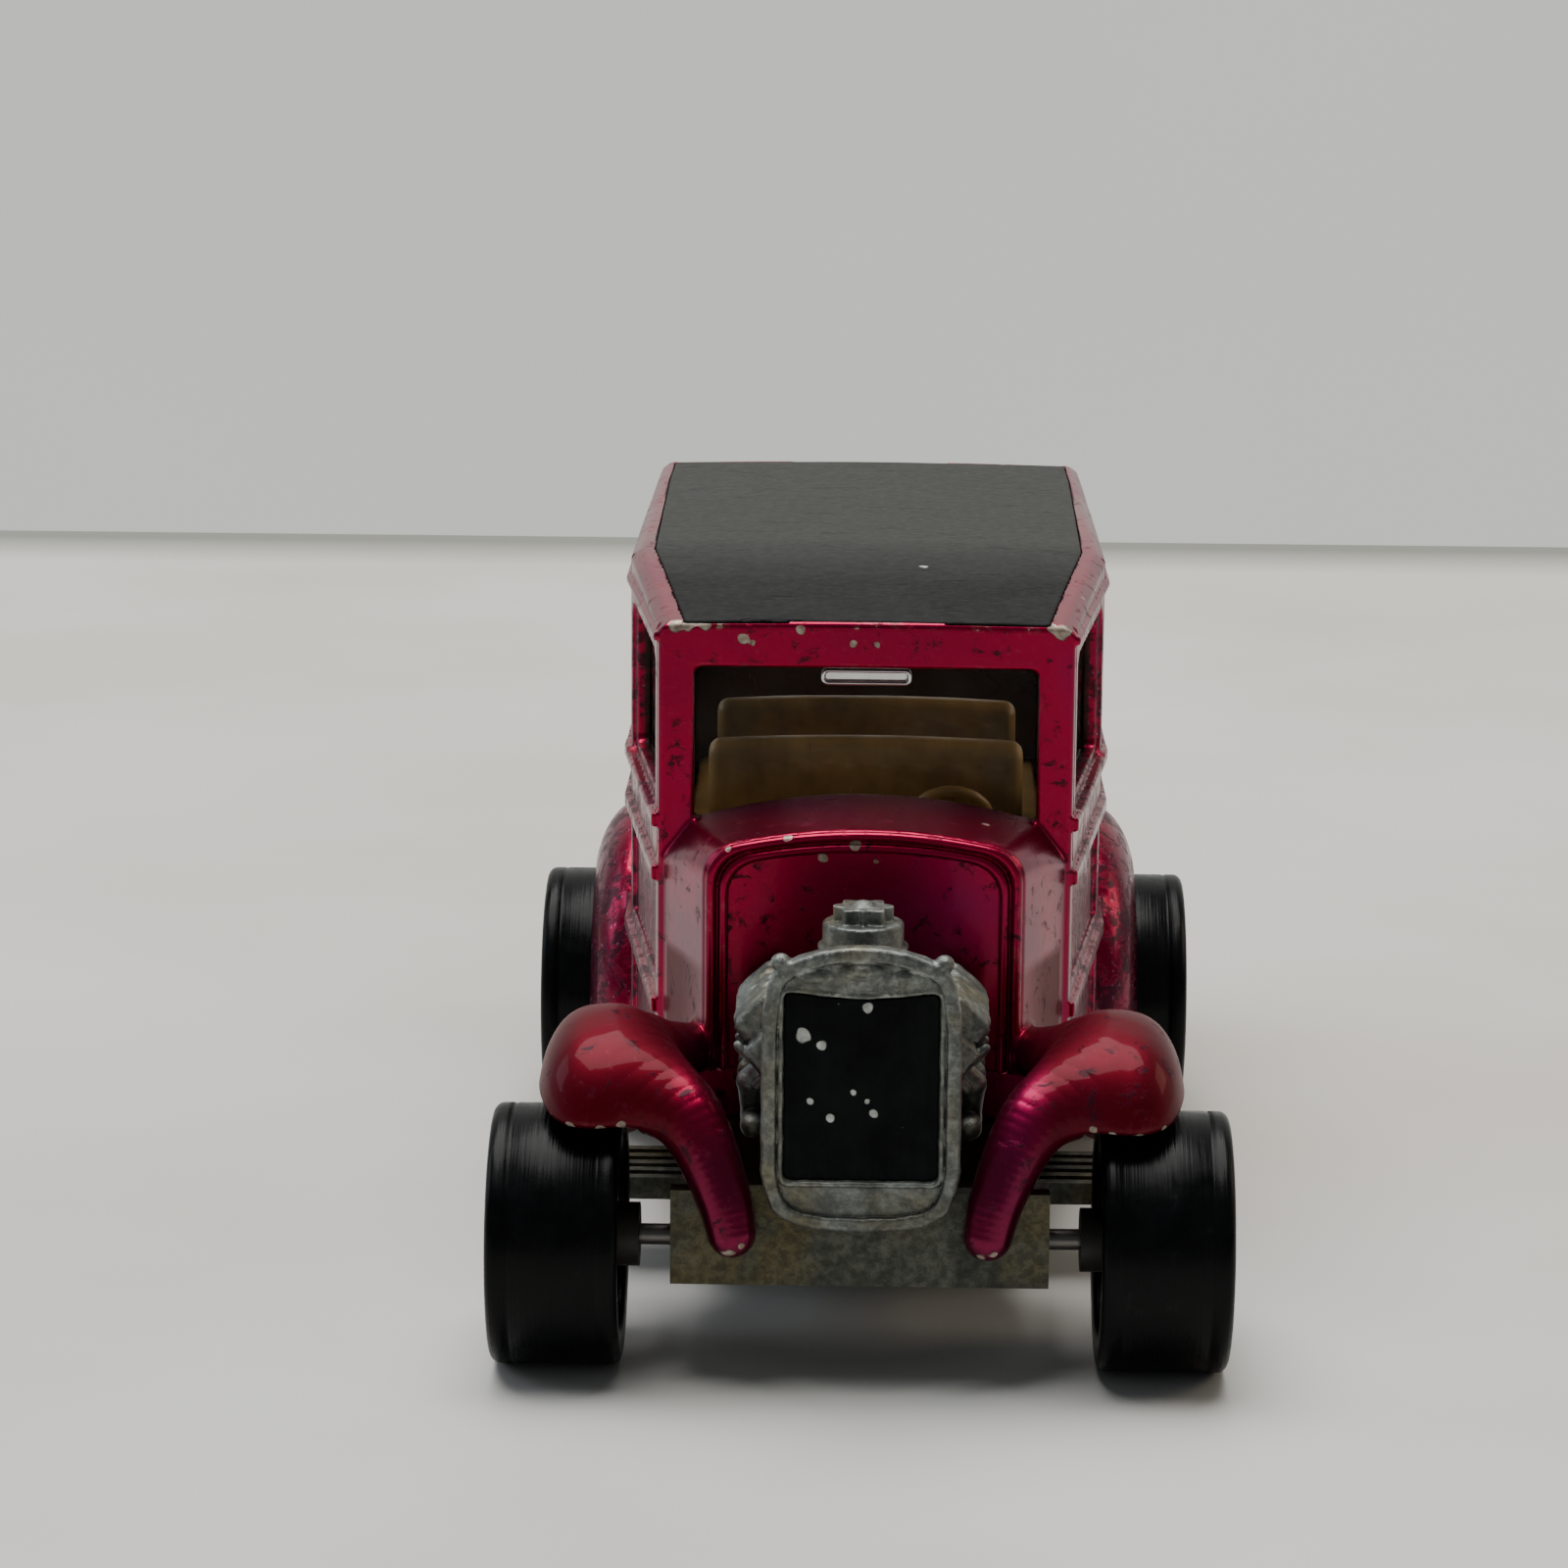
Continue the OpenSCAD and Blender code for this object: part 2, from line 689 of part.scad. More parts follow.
bush_r = 1.35;
rim_t = 1.25;
web_in = 1.9;
web_out = 2.9;

// Wheel parts lie along +Z from the tyre's inner face
module wheel_tyre(r, w) {
    edge = 0.45;
    rotate_extrude($fn = 96) polygon([
        [bush_r + fit_gap, web_in], [r - rim_t - 0.4, web_in], [r - rim_t, 0.3], [r - edge, 0],
        [r, edge], [r, w - edge], [r - edge, w], [r - rim_t, w - 0.1], [r - rim_t, web_out],
        [bush_r + fit_gap, web_out]]);
}

module wheel_hub(r, w, bore_r) {
    face_r = r - rim_t - fit_gap;
    slot_in = 1.9;
    difference() {
        rotate_extrude($fn = 96) polygon([
            [bore_r, web_out + fit_gap], [face_r, web_out + fit_gap], [face_r, web_out + 1.5],
            [face_r - 0.5, web_out + 1.5], [face_r - 0.8, web_out + 0.9], [slot_in, web_out + 1.1],
            [1.3, w - 0.5], [1, w - 0.2], [bore_r, w - 0.2]]);
        // five slots between the spokes
        for (a = [0 : 72 : 288]) rotate([0, 0, a]) translate([(slot_in + face_r) / 2, 0, web_out - past])
            cylinder(r = (face_r - slot_in) / 2 - 0.55, h = w);
    }
}

module wheel_bush(bore_r) {
    length = web_out + 0.7;
    difference() {
        union() {
            translate([0, 0, -0.7]) cylinder(r = bush_r, h = length);
            translate([0, 0, web_in - 0.5]) cylinder(r = bush_r + 0.7, h = 0.5 - fit_gap);
        }
        translate([0, 0, -past]) cylinder(r = bore_r, h = length + 2 * past);
    }
}

front_bore = front_axle_r + running_gap;
rear_bore = rear_axle_r + fit_gap / 3;

module front_tyre(side) color([0.04, 0.04, 0.04]) wheel_at_side(side, 0, front_tyre_r)
    wheel_tyre(front_tyre_r, front_tyre_w);
module front_hub(side) color([0.75, 0.75, 0.76]) wheel_at_side(side, 0, front_tyre_r)
    wheel_hub(front_tyre_r, front_tyre_w, front_bore);
module front_bush(side) color([0.1, 0.09, 0.08]) wheel_at_side(side, 0, front_tyre_r) wheel_bush(front_bore);
module rear_tyre(side) color([0.04, 0.04, 0.04]) wheel_at_side(side, wheelbase, rear_tyre_r)
    wheel_tyre(rear_tyre_r, rear_tyre_w);
module rear_hub(side) color([0.75, 0.75, 0.76]) wheel_at_side(side, wheelbase, rear_tyre_r)
    wheel_hub(rear_tyre_r, rear_tyre_w, rear_bore);
module rear_bush(side) color([0.1, 0.09, 0.08]) wheel_at_side(side, wheelbase, rear_tyre_r)
    wheel_bush(rear_bore);

module front_left_tyre() front_tyre(1);
module front_left_hub() front_hub(1);
module front_left_bush() front_bush(1);
module front_right_tyre() front_tyre(-1);
module front_right_hub() front_hub(-1);
module front_right_bush() front_bush(-1);
module rear_left_tyre() rear_tyre(1);
module rear_left_hub() rear_hub(1);
module rear_left_bush() rear_bush(1);
module rear_right_tyre() rear_tyre(-1);
module rear_right_hub() rear_hub(-1);
module rear_right_bush() rear_bush(-1);

// An axle with a peened head outside each wheel
module axle(r, outer_x) {
    head_r = 0.85;
    head_t = 0.25;
    rotate([0, 90, 0]) translate([0, 0, -outer_x]) cylinder(r = r, h = 2 * outer_x);
    both_sides() translate([outer_x - head_t, 0, 0]) rotate([0, 90, 0]) cylinder(r = head_r, h = head_t);
}

module front_axle() placed() color([0.6, 0.6, 0.58])
    translate([0, 0, front_tyre_r]) axle(front_axle_r, tyre_inner_x + front_tyre_w + 0.15);

module rear_axle() placed() color([0.6, 0.6, 0.58])
    translate([0, wheelbase, rear_tyre_r]) axle(rear_axle_r, tyre_inner_x + rear_tyre_w + 0.1);

// ---- gears ----

// Unwinding angle, in degrees, at which an involute of base radius rb reaches radius r
function unwind(rb, r) = sqrt(max(0, r * r / (rb * rb) - 1)) * 180 / PI;

// Polar angle of the involute at radius r
function involute(rb, r) = unwind(rb, r) - atan(unwind(rb, r) * PI / 180);

// One tooth around angle 0: up one flank and down the other, from root to root
function tooth(teeth) = let(
    pitch_r = gear_module * teeth / 2,
    rb = pitch_r * cos(pressure_angle),
    root_r = pitch_r - dedendum * gear_module,
    tip_r = pitch_r + addendum * gear_module,
    start_r = max(rb, root_r),
    half = 90 / teeth - backlash / 4 / pitch_r * 180 / PI,
    flank = [for (i = [0 : flank_steps]) let(r = start_r + (tip_r - start_r) * i / flank_steps)
        [r, half + involute(rb, pitch_r) - involute(rb, r)]],
    rising = [for (p = concat([[root_r, flank[0][1]]], flank)) [p[0], -p[1]]],
    falling = [for (i = [flank_steps : -1 : 0]) flank[i]])
    concat(rising, falling, [[root_r, flank[0][1]]]);

function gear_points(teeth) = [
    for (k = [0 : teeth - 1]) for (p = tooth(teeth))
        p[0] * [cos(p[1] + 360 * k / teeth), sin(p[1] + 360 * k / teeth)]];

module gear(teeth, w, turn) linear_extrude(w) rotate(turn) polygon(gear_points(teeth));

// Stands a gear part at (station, height) with its axis along X, starting at x
module geared(at, x) placed() translate([x, at[0], at[1]]) rotate([90, 0, 90]) children();

module axle_pinion() color([0.9, 0.88, 0.8]) geared(axle_at, axle_pinion_x) {
    difference() {
        gear(axle_teeth, axle_pinion_w, transfer_dir);
        translate([0, 0, -past]) cylinder(r = rear_bore, h = axle_pinion_w + 2 * past);
    }
}

// Large wheel driven by the axle, small pinion driving the drum
module transfer_gear() color([0.85, 0.2, 0.15]) geared(transfer_at, transfer_wheel_x) {
    difference() {
        union() {
            gear(transfer_teeth, transfer_wheel_w, transfer_dir + 180 + 180 / transfer_teeth);
            translate([0, 0, transfer_wheel_w - fit_gap])
                gear(transfer_pinion_teeth, transfer_pinion_w + fit_gap, drum_dir);
        }
        translate([0, 0, -past])
            cylinder(r = shaft_r + running_gap, h = transfer_wheel_w + transfer_pinion_w + 2 * past);
    }
}

module spring_drum() color([0.92, 0.9, 0.85]) geared(drum_at, drum_gear_x) {
    cup_z = drum_cup_x - drum_gear_x;
    cup_h = drum_cup_end_x - drum_cup_x;
    difference() {
        union() {
            gear(drum_teeth, drum_gear_w, drum_dir + 180 + 180 / drum_teeth);
            cylinder(r = 2.4, h = cup_z + 0.2);
            translate([0, 0, cup_z]) cylinder(r = drum_cup_r, h = cup_h);
        }
        translate([0, 0, cup_z + 0.5]) cylinder(r = drum_cup_r - 0.4, h = cup_h);
        translate([0, 0, -past]) cylinder(r = arbor_r + running_gap, h = cup_z + cup_h);
    }
}

// A shaft held at both ends in the case
module case_shaft(at, r) color([0.7, 0.7, 0.68]) geared(at, -case_half + shaft_end_gap)
    cylinder(r = r, h = 2 * (case_half - shaft_end_gap));

module transfer_shaft() case_shaft(transfer_at, shaft_r);
module spring_arbor() case_shaft(drum_at, arbor_r);

// Spiral strip in the drum's cup
module mainspring() color([0.35, 0.36, 0.38]) geared(drum_at, drum_cup_x + 0.75) {
    steps = 24 * spring_turns;
    growth = (spring_outer_r - spring_inner_r) / steps;
    outer = [for (i = [0 : steps]) let(a = 15 * i, r = spring_inner_r + growth * i) r * [cos(a), sin(a)]];
    inner = [for (i = [steps : -1 : 0]) let(a = 15 * i, r = spring_inner_r + growth * i - spring_strip)
        r * [cos(a), sin(a)]];
    linear_extrude(2.4) polygon(concat(outer, inner));
}

// The seat that a shaft stands in, right through both walls of the case
module case_shaft_hole(at, r) {
    end = case_half - shaft_end_gap + fit_gap;
    geared(at, -end) cylinder(r = r + fit_gap, h = 2 * end);
}

module motor_case_half(side) {
    length = case_back_s - case_front_s;
    height = case_top_z - case_bottom_z;
    joint_gap = fit_gap / 2;
    inside_x = side > 0 ? -past : -case_half + case_wall;
    tab_x = side > 0 ? case_half - case_tab_in : -case_half - case_tab_out;
    difference() {
        union() {
            placed() translate([side > 0 ? joint_gap : -case_half, case_front_s, case_bottom_z])
                cube([case_half - joint_gap, length, height]);
            // tabs that lie on the base
            for (s = [case_front_s + 5.2, case_back_s - 4.2]) {
                placed() translate([tab_x, s, base_bottom_z + base_thick + fit_gap])
                    cube([case_tab_in + case_tab_out, case_tab_l, case_tab_h]);
            }
        }
        placed() translate([inside_x, case_front_s + case_wall, case_bottom_z + case_wall])
            cube([case_half - case_wall + past, length - 2 * case_wall, height - 2 * case_wall]);
        geared(axle_at, -case_half - past)
            cylinder(r = rear_axle_r + running_gap, h = 2 * (case_half + past));
        case_shaft_hole(transfer_at, shaft_r);
        case_shaft_hole(drum_at, arbor_r);
    }
}

module motor_case_left() color([0.3, 0.32, 0.36]) motor_case_half(1);
module motor_case_right() color([0.3, 0.32, 0.36]) motor_case_half(-1);

body_shell();
roof_cover();
window_glazing();
interior_tub();
chassis_base();
chassis_rivets();
radiator_shell();
radiator_grille();
engine_block();
air_cleaner();
left_header();
right_header();
front_axle();
front_left_tyre();
front_left_hub();
front_left_bush();
front_right_tyre();
front_right_hub();
front_right_bush();
rear_axle();
rear_left_tyre();
rear_left_hub();
rear_left_bush();
rear_right_tyre();
rear_right_hub();
rear_right_bush();
axle_pinion();
transfer_gear();
transfer_shaft();
spring_drum();
spring_arbor();
mainspring();
motor_case_left();
motor_case_right();
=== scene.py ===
"""Looks of a small die-cast woody wagon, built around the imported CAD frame.

The castings are modelled as distance fields in millimetres, meshed by surface nets
and given a worn-edge attribute from their own curvature. Turned parts are lathed.
Lengths along the car (s) are measured rearwards from the front axle, as in the part.
"""

import math

import bmesh
import bpy
import numpy as np
from mathutils import Matrix, Vector


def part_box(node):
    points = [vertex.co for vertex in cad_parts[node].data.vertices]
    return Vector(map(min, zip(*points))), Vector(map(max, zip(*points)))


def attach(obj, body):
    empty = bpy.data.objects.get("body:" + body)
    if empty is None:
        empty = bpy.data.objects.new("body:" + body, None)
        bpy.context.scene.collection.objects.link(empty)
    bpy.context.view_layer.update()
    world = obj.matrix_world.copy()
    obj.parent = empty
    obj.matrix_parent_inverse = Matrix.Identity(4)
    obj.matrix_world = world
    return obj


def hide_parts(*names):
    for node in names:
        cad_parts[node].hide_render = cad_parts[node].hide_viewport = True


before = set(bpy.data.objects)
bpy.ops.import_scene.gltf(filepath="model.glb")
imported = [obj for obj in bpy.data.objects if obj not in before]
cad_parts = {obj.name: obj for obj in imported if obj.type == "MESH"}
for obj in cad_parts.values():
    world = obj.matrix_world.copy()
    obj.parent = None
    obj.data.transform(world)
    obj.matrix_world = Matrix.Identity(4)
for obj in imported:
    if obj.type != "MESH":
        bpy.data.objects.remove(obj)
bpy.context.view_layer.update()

MM = 0.001
COARSE = 1.0
# Grid points worked out at a time
CHUNK = 400000


def box_mm(node):
    """Lowest and highest corner of a CAD node, in millimetres, y measured from the front axle."""
    lo, hi = (np.array(c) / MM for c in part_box(node))
    return lo - [0, AXLE_Y, 0], hi - [0, AXLE_Y, 0]


axle_lo, axle_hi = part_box("front_axle")
AXLE_Y = (axle_lo.y + axle_hi.y) / 2 / MM


# ---------------------------------------------------------------- distance fields

def length(*parts):
    return np.sqrt(sum(q * q for q in parts))


def smooth_min(a, b, k):
    """Union of two fields with a fillet of about k."""
    h = np.clip(0.5 + 0.5 * (b - a) / k, 0, 1)
    return b + (a - b) * h - k * h * (1 - h)


def smooth_max(a, b, k):
    """Intersection of two fields with a round edge of about k."""
    return -smooth_min(-a, -b, k)


def cut(a, b, k):
    """Field a with b taken away, with an edge round of about k."""
    return smooth_max(a, -b, k)


def rect(u, v, centre_u, centre_v, half_u, half_v, r):
    """Rounded rectangle in the plane of u and v."""
    du = np.abs(u - centre_u) - half_u + r
    dv = np.abs(v - centre_v) - half_v + r
    return length(np.maximum(du, 0), np.maximum(dv, 0)) + np.minimum(np.maximum(du, dv), 0) - r


def block(p, lo, hi, r):
    """Rounded box between two corners."""
    d = [np.abs(p[i] - (lo[i] + hi[i]) / 2) - (hi[i] - lo[i]) / 2 + r for i in range(3)]
    outside = length(*[np.maximum(q, 0) for q in d])
    return outside + np.minimum(np.maximum(np.maximum(d[0], d[1]), d[2]), 0) - r


def ellipsoid(p, c, radii):
    """A near-exact field of an ellipsoid, good close to its surface."""
    q = [(p[i] - c[i]) / radii[i] for i in range(3)]
    k0 = length(*q)
    k1 = length(*[q[i] / radii[i] for i in range(3)])
    return k0 * (k0 - 1) / np.maximum(k1, 1e-6)


def squarish(p, c, radii, power):
    """An ellipsoid with fuller shoulders."""
    k = sum(np.abs((p[i] - c[i]) / radii[i]) ** power for i in range(3)) ** (1 / power)
    return (k - 1) * min(radii)


def capsule(p, a, b, ra, rb):
    """A rod from a to b whose radius runs from ra to rb."""
    ab = np.array(b, float) - np.array(a, float)
    t = sum((p[i] - a[i]) * ab[i] for i in range(3)) / (ab @ ab)
    t = np.clip(t, 0, 1)
    return length(*[p[i] - a[i] - ab[i] * t for i in range(3)]) - (ra + (rb - ra) * t)


def polygon(u, v, points):
    """Signed distance to a closed outline."""
    pts = np.array(points, float)
    d = np.full(np.shape(u), 1e9)
    inside = np.zeros(np.shape(u), bool)
    for (ax, ay), (bx, by) in zip(pts, np.roll(pts, 1, axis=0)):
        ex, ey = bx - ax, by - ay
        wx, wy = u - ax, v - ay
        t = np.clip((wx * ex + wy * ey) / (ex * ex + ey * ey), 0, 1)
        d = np.minimum(d, (wx - ex * t) ** 2 + (wy - ey * t) ** 2)
        side = (ay > v) != (by > v)
        crossing = u < ex * (v - ay) / (ey if abs(ey) > 1e-12 else 1e-12) + ax
        inside ^= side & crossing
    return np.where(inside, -1, 1) * np.sqrt(d)


# ---------------------------------------------------------------- meshing

def grid_axis(*stops):
    """Grid lines from (start, step), (start, step) ... up to a last start."""
    lines = []
    for (a, step), (b, _) in zip(stops, stops[1:]):
        n = max(1, round((b - a) / (step * COARSE)))
        lines.append(np.linspace(a, b, n, endpoint=False))
    return np.concatenate(lines + [[stops[-1][0]]])


def sample(field, axes):
    """Field values on a grid, worked out in full only near the surface, which a coarse pass finds."""
    skip = 4
    picks = [np.unique(np.append(np.arange(0, len(a), skip), len(a) - 1)) for a in axes]
    grid = np.meshgrid(*[a[i] for a, i in zip(axes, picks)], indexing="ij")
    rough = field([g.ravel() for g in grid]).reshape(grid[0].shape)
    near = [np.clip(np.round(np.arange(len(a)) / skip).astype(int), 0, len(i) - 1)
            for a, i in zip(axes, picks)]
    values = rough[np.ix_(*near)].astype(np.float32)
    reach = length(*[np.diff(a).max() * skip / 2 for a in axes])
    band = np.abs(values) < reach + 2 * max(np.diff(a).max() for a in axes)
    index = np.nonzero(band)
    for chunk in np.array_split(np.arange(len(index[0])), max(1, len(index[0]) // CHUNK)):
        at = tuple(i[chunk] for i in index)
        values[at] = field([axes[i][at[i]] for i in range(3)])
    return values


def surface_nets(values, axes):
    """One vertex in each cell that the surface crosses, one quad across each crossed grid edge."""
    inside = values < 0
    shape = tuple(n - 1 for n in values.shape)
    corners = [(i, j, k) for i in (0, 1) for j in (0, 1) for k in (0, 1)]

    def corner(a, c):
        return a[c[0]:c[0] + shape[0], c[1]:c[1] + shape[1], c[2]:c[2] + shape[2]]

    count = sum(corner(inside, c).astype(np.int8) for c in corners)
    active = (count > 0) & (count < 8)
    index = np.full(shape, -1, np.int32)
    index[active] = np.arange(active.sum())
    total = np.zeros((active.sum(), 3))
    crossings = np.zeros(active.sum())
    for a in corners:
        for axis in range(3):
            if a[axis]:
                continue
            b = tuple(1 if i == axis else a[i] for i in range(3))
            fa, fb = corner(values, a)[active], corner(values, b)[active]
            crossed = (fa < 0) != (fb < 0)
            t = np.where(crossed, fa / np.where(crossed, fa - fb, 1), 0)
            spot = np.array(a, float) + np.outer(t, np.eye(3)[axis])
            total += spot * crossed[:, None]
            crossings += crossed
    cells = np.stack(np.nonzero(active), 1) + total / crossings[:, None]
    verts = np.stack([np.interp(cells[:, i], np.arange(len(axes[i])), axes[i]) for i in range(3)], 1)
    quads = []
    for axis in range(3):
        u, v = (axis + 1) % 3, (axis + 2) % 3
        lower = [slice(None)] * 3
        upper = [slice(None)] * 3
        lower[axis], upper[axis] = slice(None, -1), slice(1, None)
        crossed = inside[tuple(lower)] != inside[tuple(upper)]
        at = np.stack(np.nonzero(crossed), 1)
        at = at[(at[:, u] > 0) & (at[:, v] > 0) & (at[:, u] < shape[u]) & (at[:, v] < shape[v])]
        ring = []
        for du, dv in ((1, 1), (0, 1), (0, 0), (1, 0)):
            cell = at.copy()
            cell[:, u] -= du
            cell[:, v] -= dv
            ring.append(index[tuple(cell.T)])
        quad = np.stack(ring, 1)
        flip = ~inside[tuple(at.T)]
        quad[flip] = quad[flip][:, ::-1]
        quads.append(quad)
    return verts, np.concatenate(quads)


def slope(field, verts, e):
    """Unit direction of steepest rise of the field at each vertex."""
    g = np.empty_like(verts)
    for i in range(3):
        step = np.eye(3)[i] * e
        g[:, i] = field(list((verts + step).T)) - field(list((verts - step).T))
    return g / np.maximum(np.linalg.norm(g, axis=1), 1e-12)[:, None]


def points_mm(piece):
    """The points of a piece, in millimetres, y measured from the front axle."""
    co = np.empty(len(piece.data.vertices) * 3)
    piece.data.vertices.foreach_get("co", co)
    return co.reshape(-1, 3) / MM - [0, AXLE_Y, 0]


def new_mesh(name, verts, faces, normals=None):
    """A smooth-shaded mesh object from points in millimetres measured from the front axle."""
    mesh = bpy.data.meshes.new(name)
    placed = (np.asarray(verts, float) + [0, AXLE_Y, 0]) * MM
    faces = np.asarray(faces)
    sides = faces.shape[1]
    mesh.vertices.add(len(placed))
    mesh.vertices.foreach_set("co", placed.astype(np.float32).ravel())
    mesh.loops.add(faces.size)
    mesh.loops.foreach_set("vertex_index", faces.astype(np.int32).ravel())
    mesh.polygons.add(len(faces))
    mesh.polygons.foreach_set("loop_start", np.arange(0, faces.size, sides, dtype=np.int32))
    mesh.update(calc_edges=True)
    mesh.validate()
    mesh.shade_smooth()
    if normals is not None and len(mesh.vertices) == len(normals):
        mesh.normals_split_custom_set_from_vertices(normals.astype(np.float32))
    piece = bpy.data.objects.new(name, mesh)
    bpy.context.scene.collection.objects.link(piece)
    return piece


def set_attribute(piece, name, values):
    layer = piece.data.attributes.new(name, "FLOAT", "POINT")
    layer.data.foreach_set("value", np.asarray(values, np.float32))


def cast(name, field, axes, mirrored=True, wear_reach=0.22):
    """Meshes a field as one casting. edge_wear is how convex the surface is, hollow how concave,
    side_on how far it faces sideways."""
    if mirrored:
        values = sample(field, axes)
        values = np.concatenate([values[:0:-1], values])
        axes = [np.concatenate([-axes[0][:0:-1], axes[0]]), axes[1], axes[2]]
    else:
        values = sample(field, axes)
    verts, quads = surface_nets(values, axes)
    step = min(np.diff(a).min() for a in axes)
    cell = max(np.diff(a).max() for a in axes)

    def whole(p):
        return field([np.abs(p[0]) if mirrored else p[0], p[1], p[2]])

    for _ in range(2):
        normal = slope(whole, verts, step * 0.25)
        verts -= normal * np.clip(whole(list(verts.T)), -cell / 2, cell / 2)[:, None]
    normal = slope(whole, verts, step * 0.4)
    piece = new_mesh(name, verts, quads, normal)
    out = whole(list((verts + normal * wear_reach).T)) / wear_reach
    deep = whole(list((verts - normal * wear_reach).T)) / wear_reach
    set_attribute(piece, "edge_wear", np.clip((1 + deep) * 1.6, 0, 1))
    set_attribute(piece, "hollow", np.clip((1 - out) * 1.6, 0, 1))
    set_attribute(piece, "side_on", np.clip((np.abs(normal[:, 0]) - 0.35) * 2, 0, 1))
    return piece


def inside_box(p, lo, hi, shape, far=2.5):
    """Works a costly field out only inside a box, and takes it as far away elsewhere."""
    x, s, z = (np.asarray(q) for q in p)
    near = (x > lo[0]) & (x < hi[0]) & (s > lo[1]) & (s < hi[1]) & (z > lo[2]) & (z < hi[2])
    values = np.full(x.shape, far)
    if near.any():
        values[near] = shape([x[near], s[near], z[near]])
    return values


# ---------------------------------------------------------------- body casting

ROOF = box_mm("body_shell")[1][2]
TAIL = box_mm("body_shell")[1][1]
WINDSHIELD, PILLAR = 12.5, 28.4
ROOF_FRONT_DROP, ROOF_TAIL_DROP = 0.8, 0.3
WALL, ROOF_WALL = 0.95, 1.2
WINDOW_TOP, WINDOW_SILL = 27.6, 21.2
SIDE_WINDOWS = ((14.6, 27.2), (29.6, 41.4), (43.8, 56.6))
FRONT_R = box_mm("front_left_tyre")[1][2] / 2
REAR_R = box_mm("rear_left_tyre")[1][2] / 2
REAR_S = (box_mm("rear_axle")[0][1] + box_mm("rear_axle")[1][1]) / 2
TYRE_X = box_mm("front_left_tyre")[0][0]
# Air between a tyre and the fender around it
TYRE_GAP = 0.65


# Half the cab's width at the windshield and at the tail
FRONT_HALF, CAB_HALF = 9.15, 11.2


def cab_side(p):
    """The side's plan: widening from the windshield to the pillar, then straight."""
    front = (p[0] - FRONT_HALF) * 0.99176 - (p[1] - WINDSHIELD) * 0.12786
    return np.maximum(front, p[0] - CAB_HALF)


def cab_roof(p):
    """The roof is highest at the pillar, curves down to the windshield and falls a little to the tail."""
    x, s, z = p
    front = np.clip((PILLAR + 2 - s) / (PILLAR + 2 - WINDSHIELD), 0, 1.1)
    back = np.clip((s - PILLAR - 2) / (TAIL - PILLAR - 2), 0, 1.1)
    return z - ROOF + ROOF_FRONT_DROP * front ** 1.4 + ROOF_TAIL_DROP * back ** 1.5 + 0.0012 * x * x


def cab_block(p, g, top, k):
    side, roof = cab_side(p) + g, cab_roof(p) + top
    ends = np.maximum(WINDSHIELD + g - p[1], p[1] - TAIL + g)
    d = smooth_max(smooth_max(side, ends, k), roof, k)
    if g == 0:
        d = smooth_max(d, side * 0.6 + roof * 0.8 + 0.3, 0.1)
        d = smooth_max(d, (ends + roof) * 0.7071 + 0.12, 0.1)
    return d


def cab_field(p):
    x, s, z = p
    side = cab_side(p)
    d = cab_block(p, 0, 0, 0.25)
    # sunk panels between posts and rails
    for s0, s1 in ((13.9, 27.4), (29.4, 41.6), (43.6, 57.8)):
        for z0, z1 in ((7.9, 11.5), (13.1, 17.7)):
            hole = rect(s, z, (s0 + s1) / 2, (z0 + z1) / 2, (s1 - s0) / 2, (z1 - z0) / 2, 0.35)
            d = cut(d, np.maximum(hole, -(side + 0.26)), 0.14)
    # door gaps
    for gap in (13.25, PILLAR, 42.6):
        groove = length(np.maximum(np.abs(s - gap) - 0.04, 0), np.maximum(-(side + 0.1), 0)) - 0.08
        d = cut(d, np.maximum(groove, 8.1 - z), 0.08)
    # belt mouldings and drip rail
    rails = ((12.2, 0.2, 0.3), (18.25, 0.2, 0.3), (20.65, 0.18, 0.3), (28.9, 0.06, 0.22))
    for centre, half, out in rails:
        rail = np.maximum(np.abs(z - centre) - half, 0)
        rail = length(rail, np.maximum(side - out + 0.14, 0)) - 0.14
        ends = np.maximum(WINDSHIELD + 0.1 - s, s - TAIL + 0.25)
        rail = smooth_max(rail, np.maximum(ends, -0.6 - side), 0.12)
        d = smooth_min(d, rail, 0.1)
    # tailgate frame
    tail = s - TAIL
    for z0, z1 in ((8.2, 13.4), (14.6, 20.0)):
        hole = rect(x, z, 0, (z0 + z1) / 2, 8.9, (z1 - z0) / 2, 0.4)
        d = cut(d, np.maximum(hole, -(tail + 0.26)), 0.14)
    for centre in (14.0, 20.6):
        rail = rect(s, z, TAIL - 0.2, centre, 0.2, 0.3, 0.14)
        d = np.minimum(d, np.maximum(rail, x - 10.4))
    # windows, each with a sunk frame
    glass = rect(x, z, 0, (WINDOW_TOP + 20.6) / 2, 7.58, (WINDOW_TOP - 20.6) / 2, 0.4)
    d = cut(d, np.maximum(glass, s - WINDSHIELD - 3), 0.16)
    middle, half = (WINDOW_TOP + WINDOW_SILL) / 2, (WINDOW_TOP - WINDOW_SILL) / 2
    for s0, s1 in SIDE_WINDOWS:
        glass = rect(s, z, (s0 + s1) / 2, middle, (s1 - s0) / 2, half, 0.5)
        d = cut(d, np.maximum(glass - 0.38, -(side + 0.2)), 0.1)
        d = cut(d, np.maximum(glass, 8 - x), 0.14)
    glass = rect(x, z, 0, middle, 7.4, half, 0.5)
    d = cut(d, np.maximum(glass - 0.4, -(tail + 0.2)), 0.1)
    d = cut(d, np.maximum(glass, TAIL - 3 - s), 0.14)
    d = cut(d, np.maximum(cab_block(p, WALL, ROOF_WALL, 0.4), 6 - z), 0.2)
    return smooth_max(d, 7 - z, 0.25)


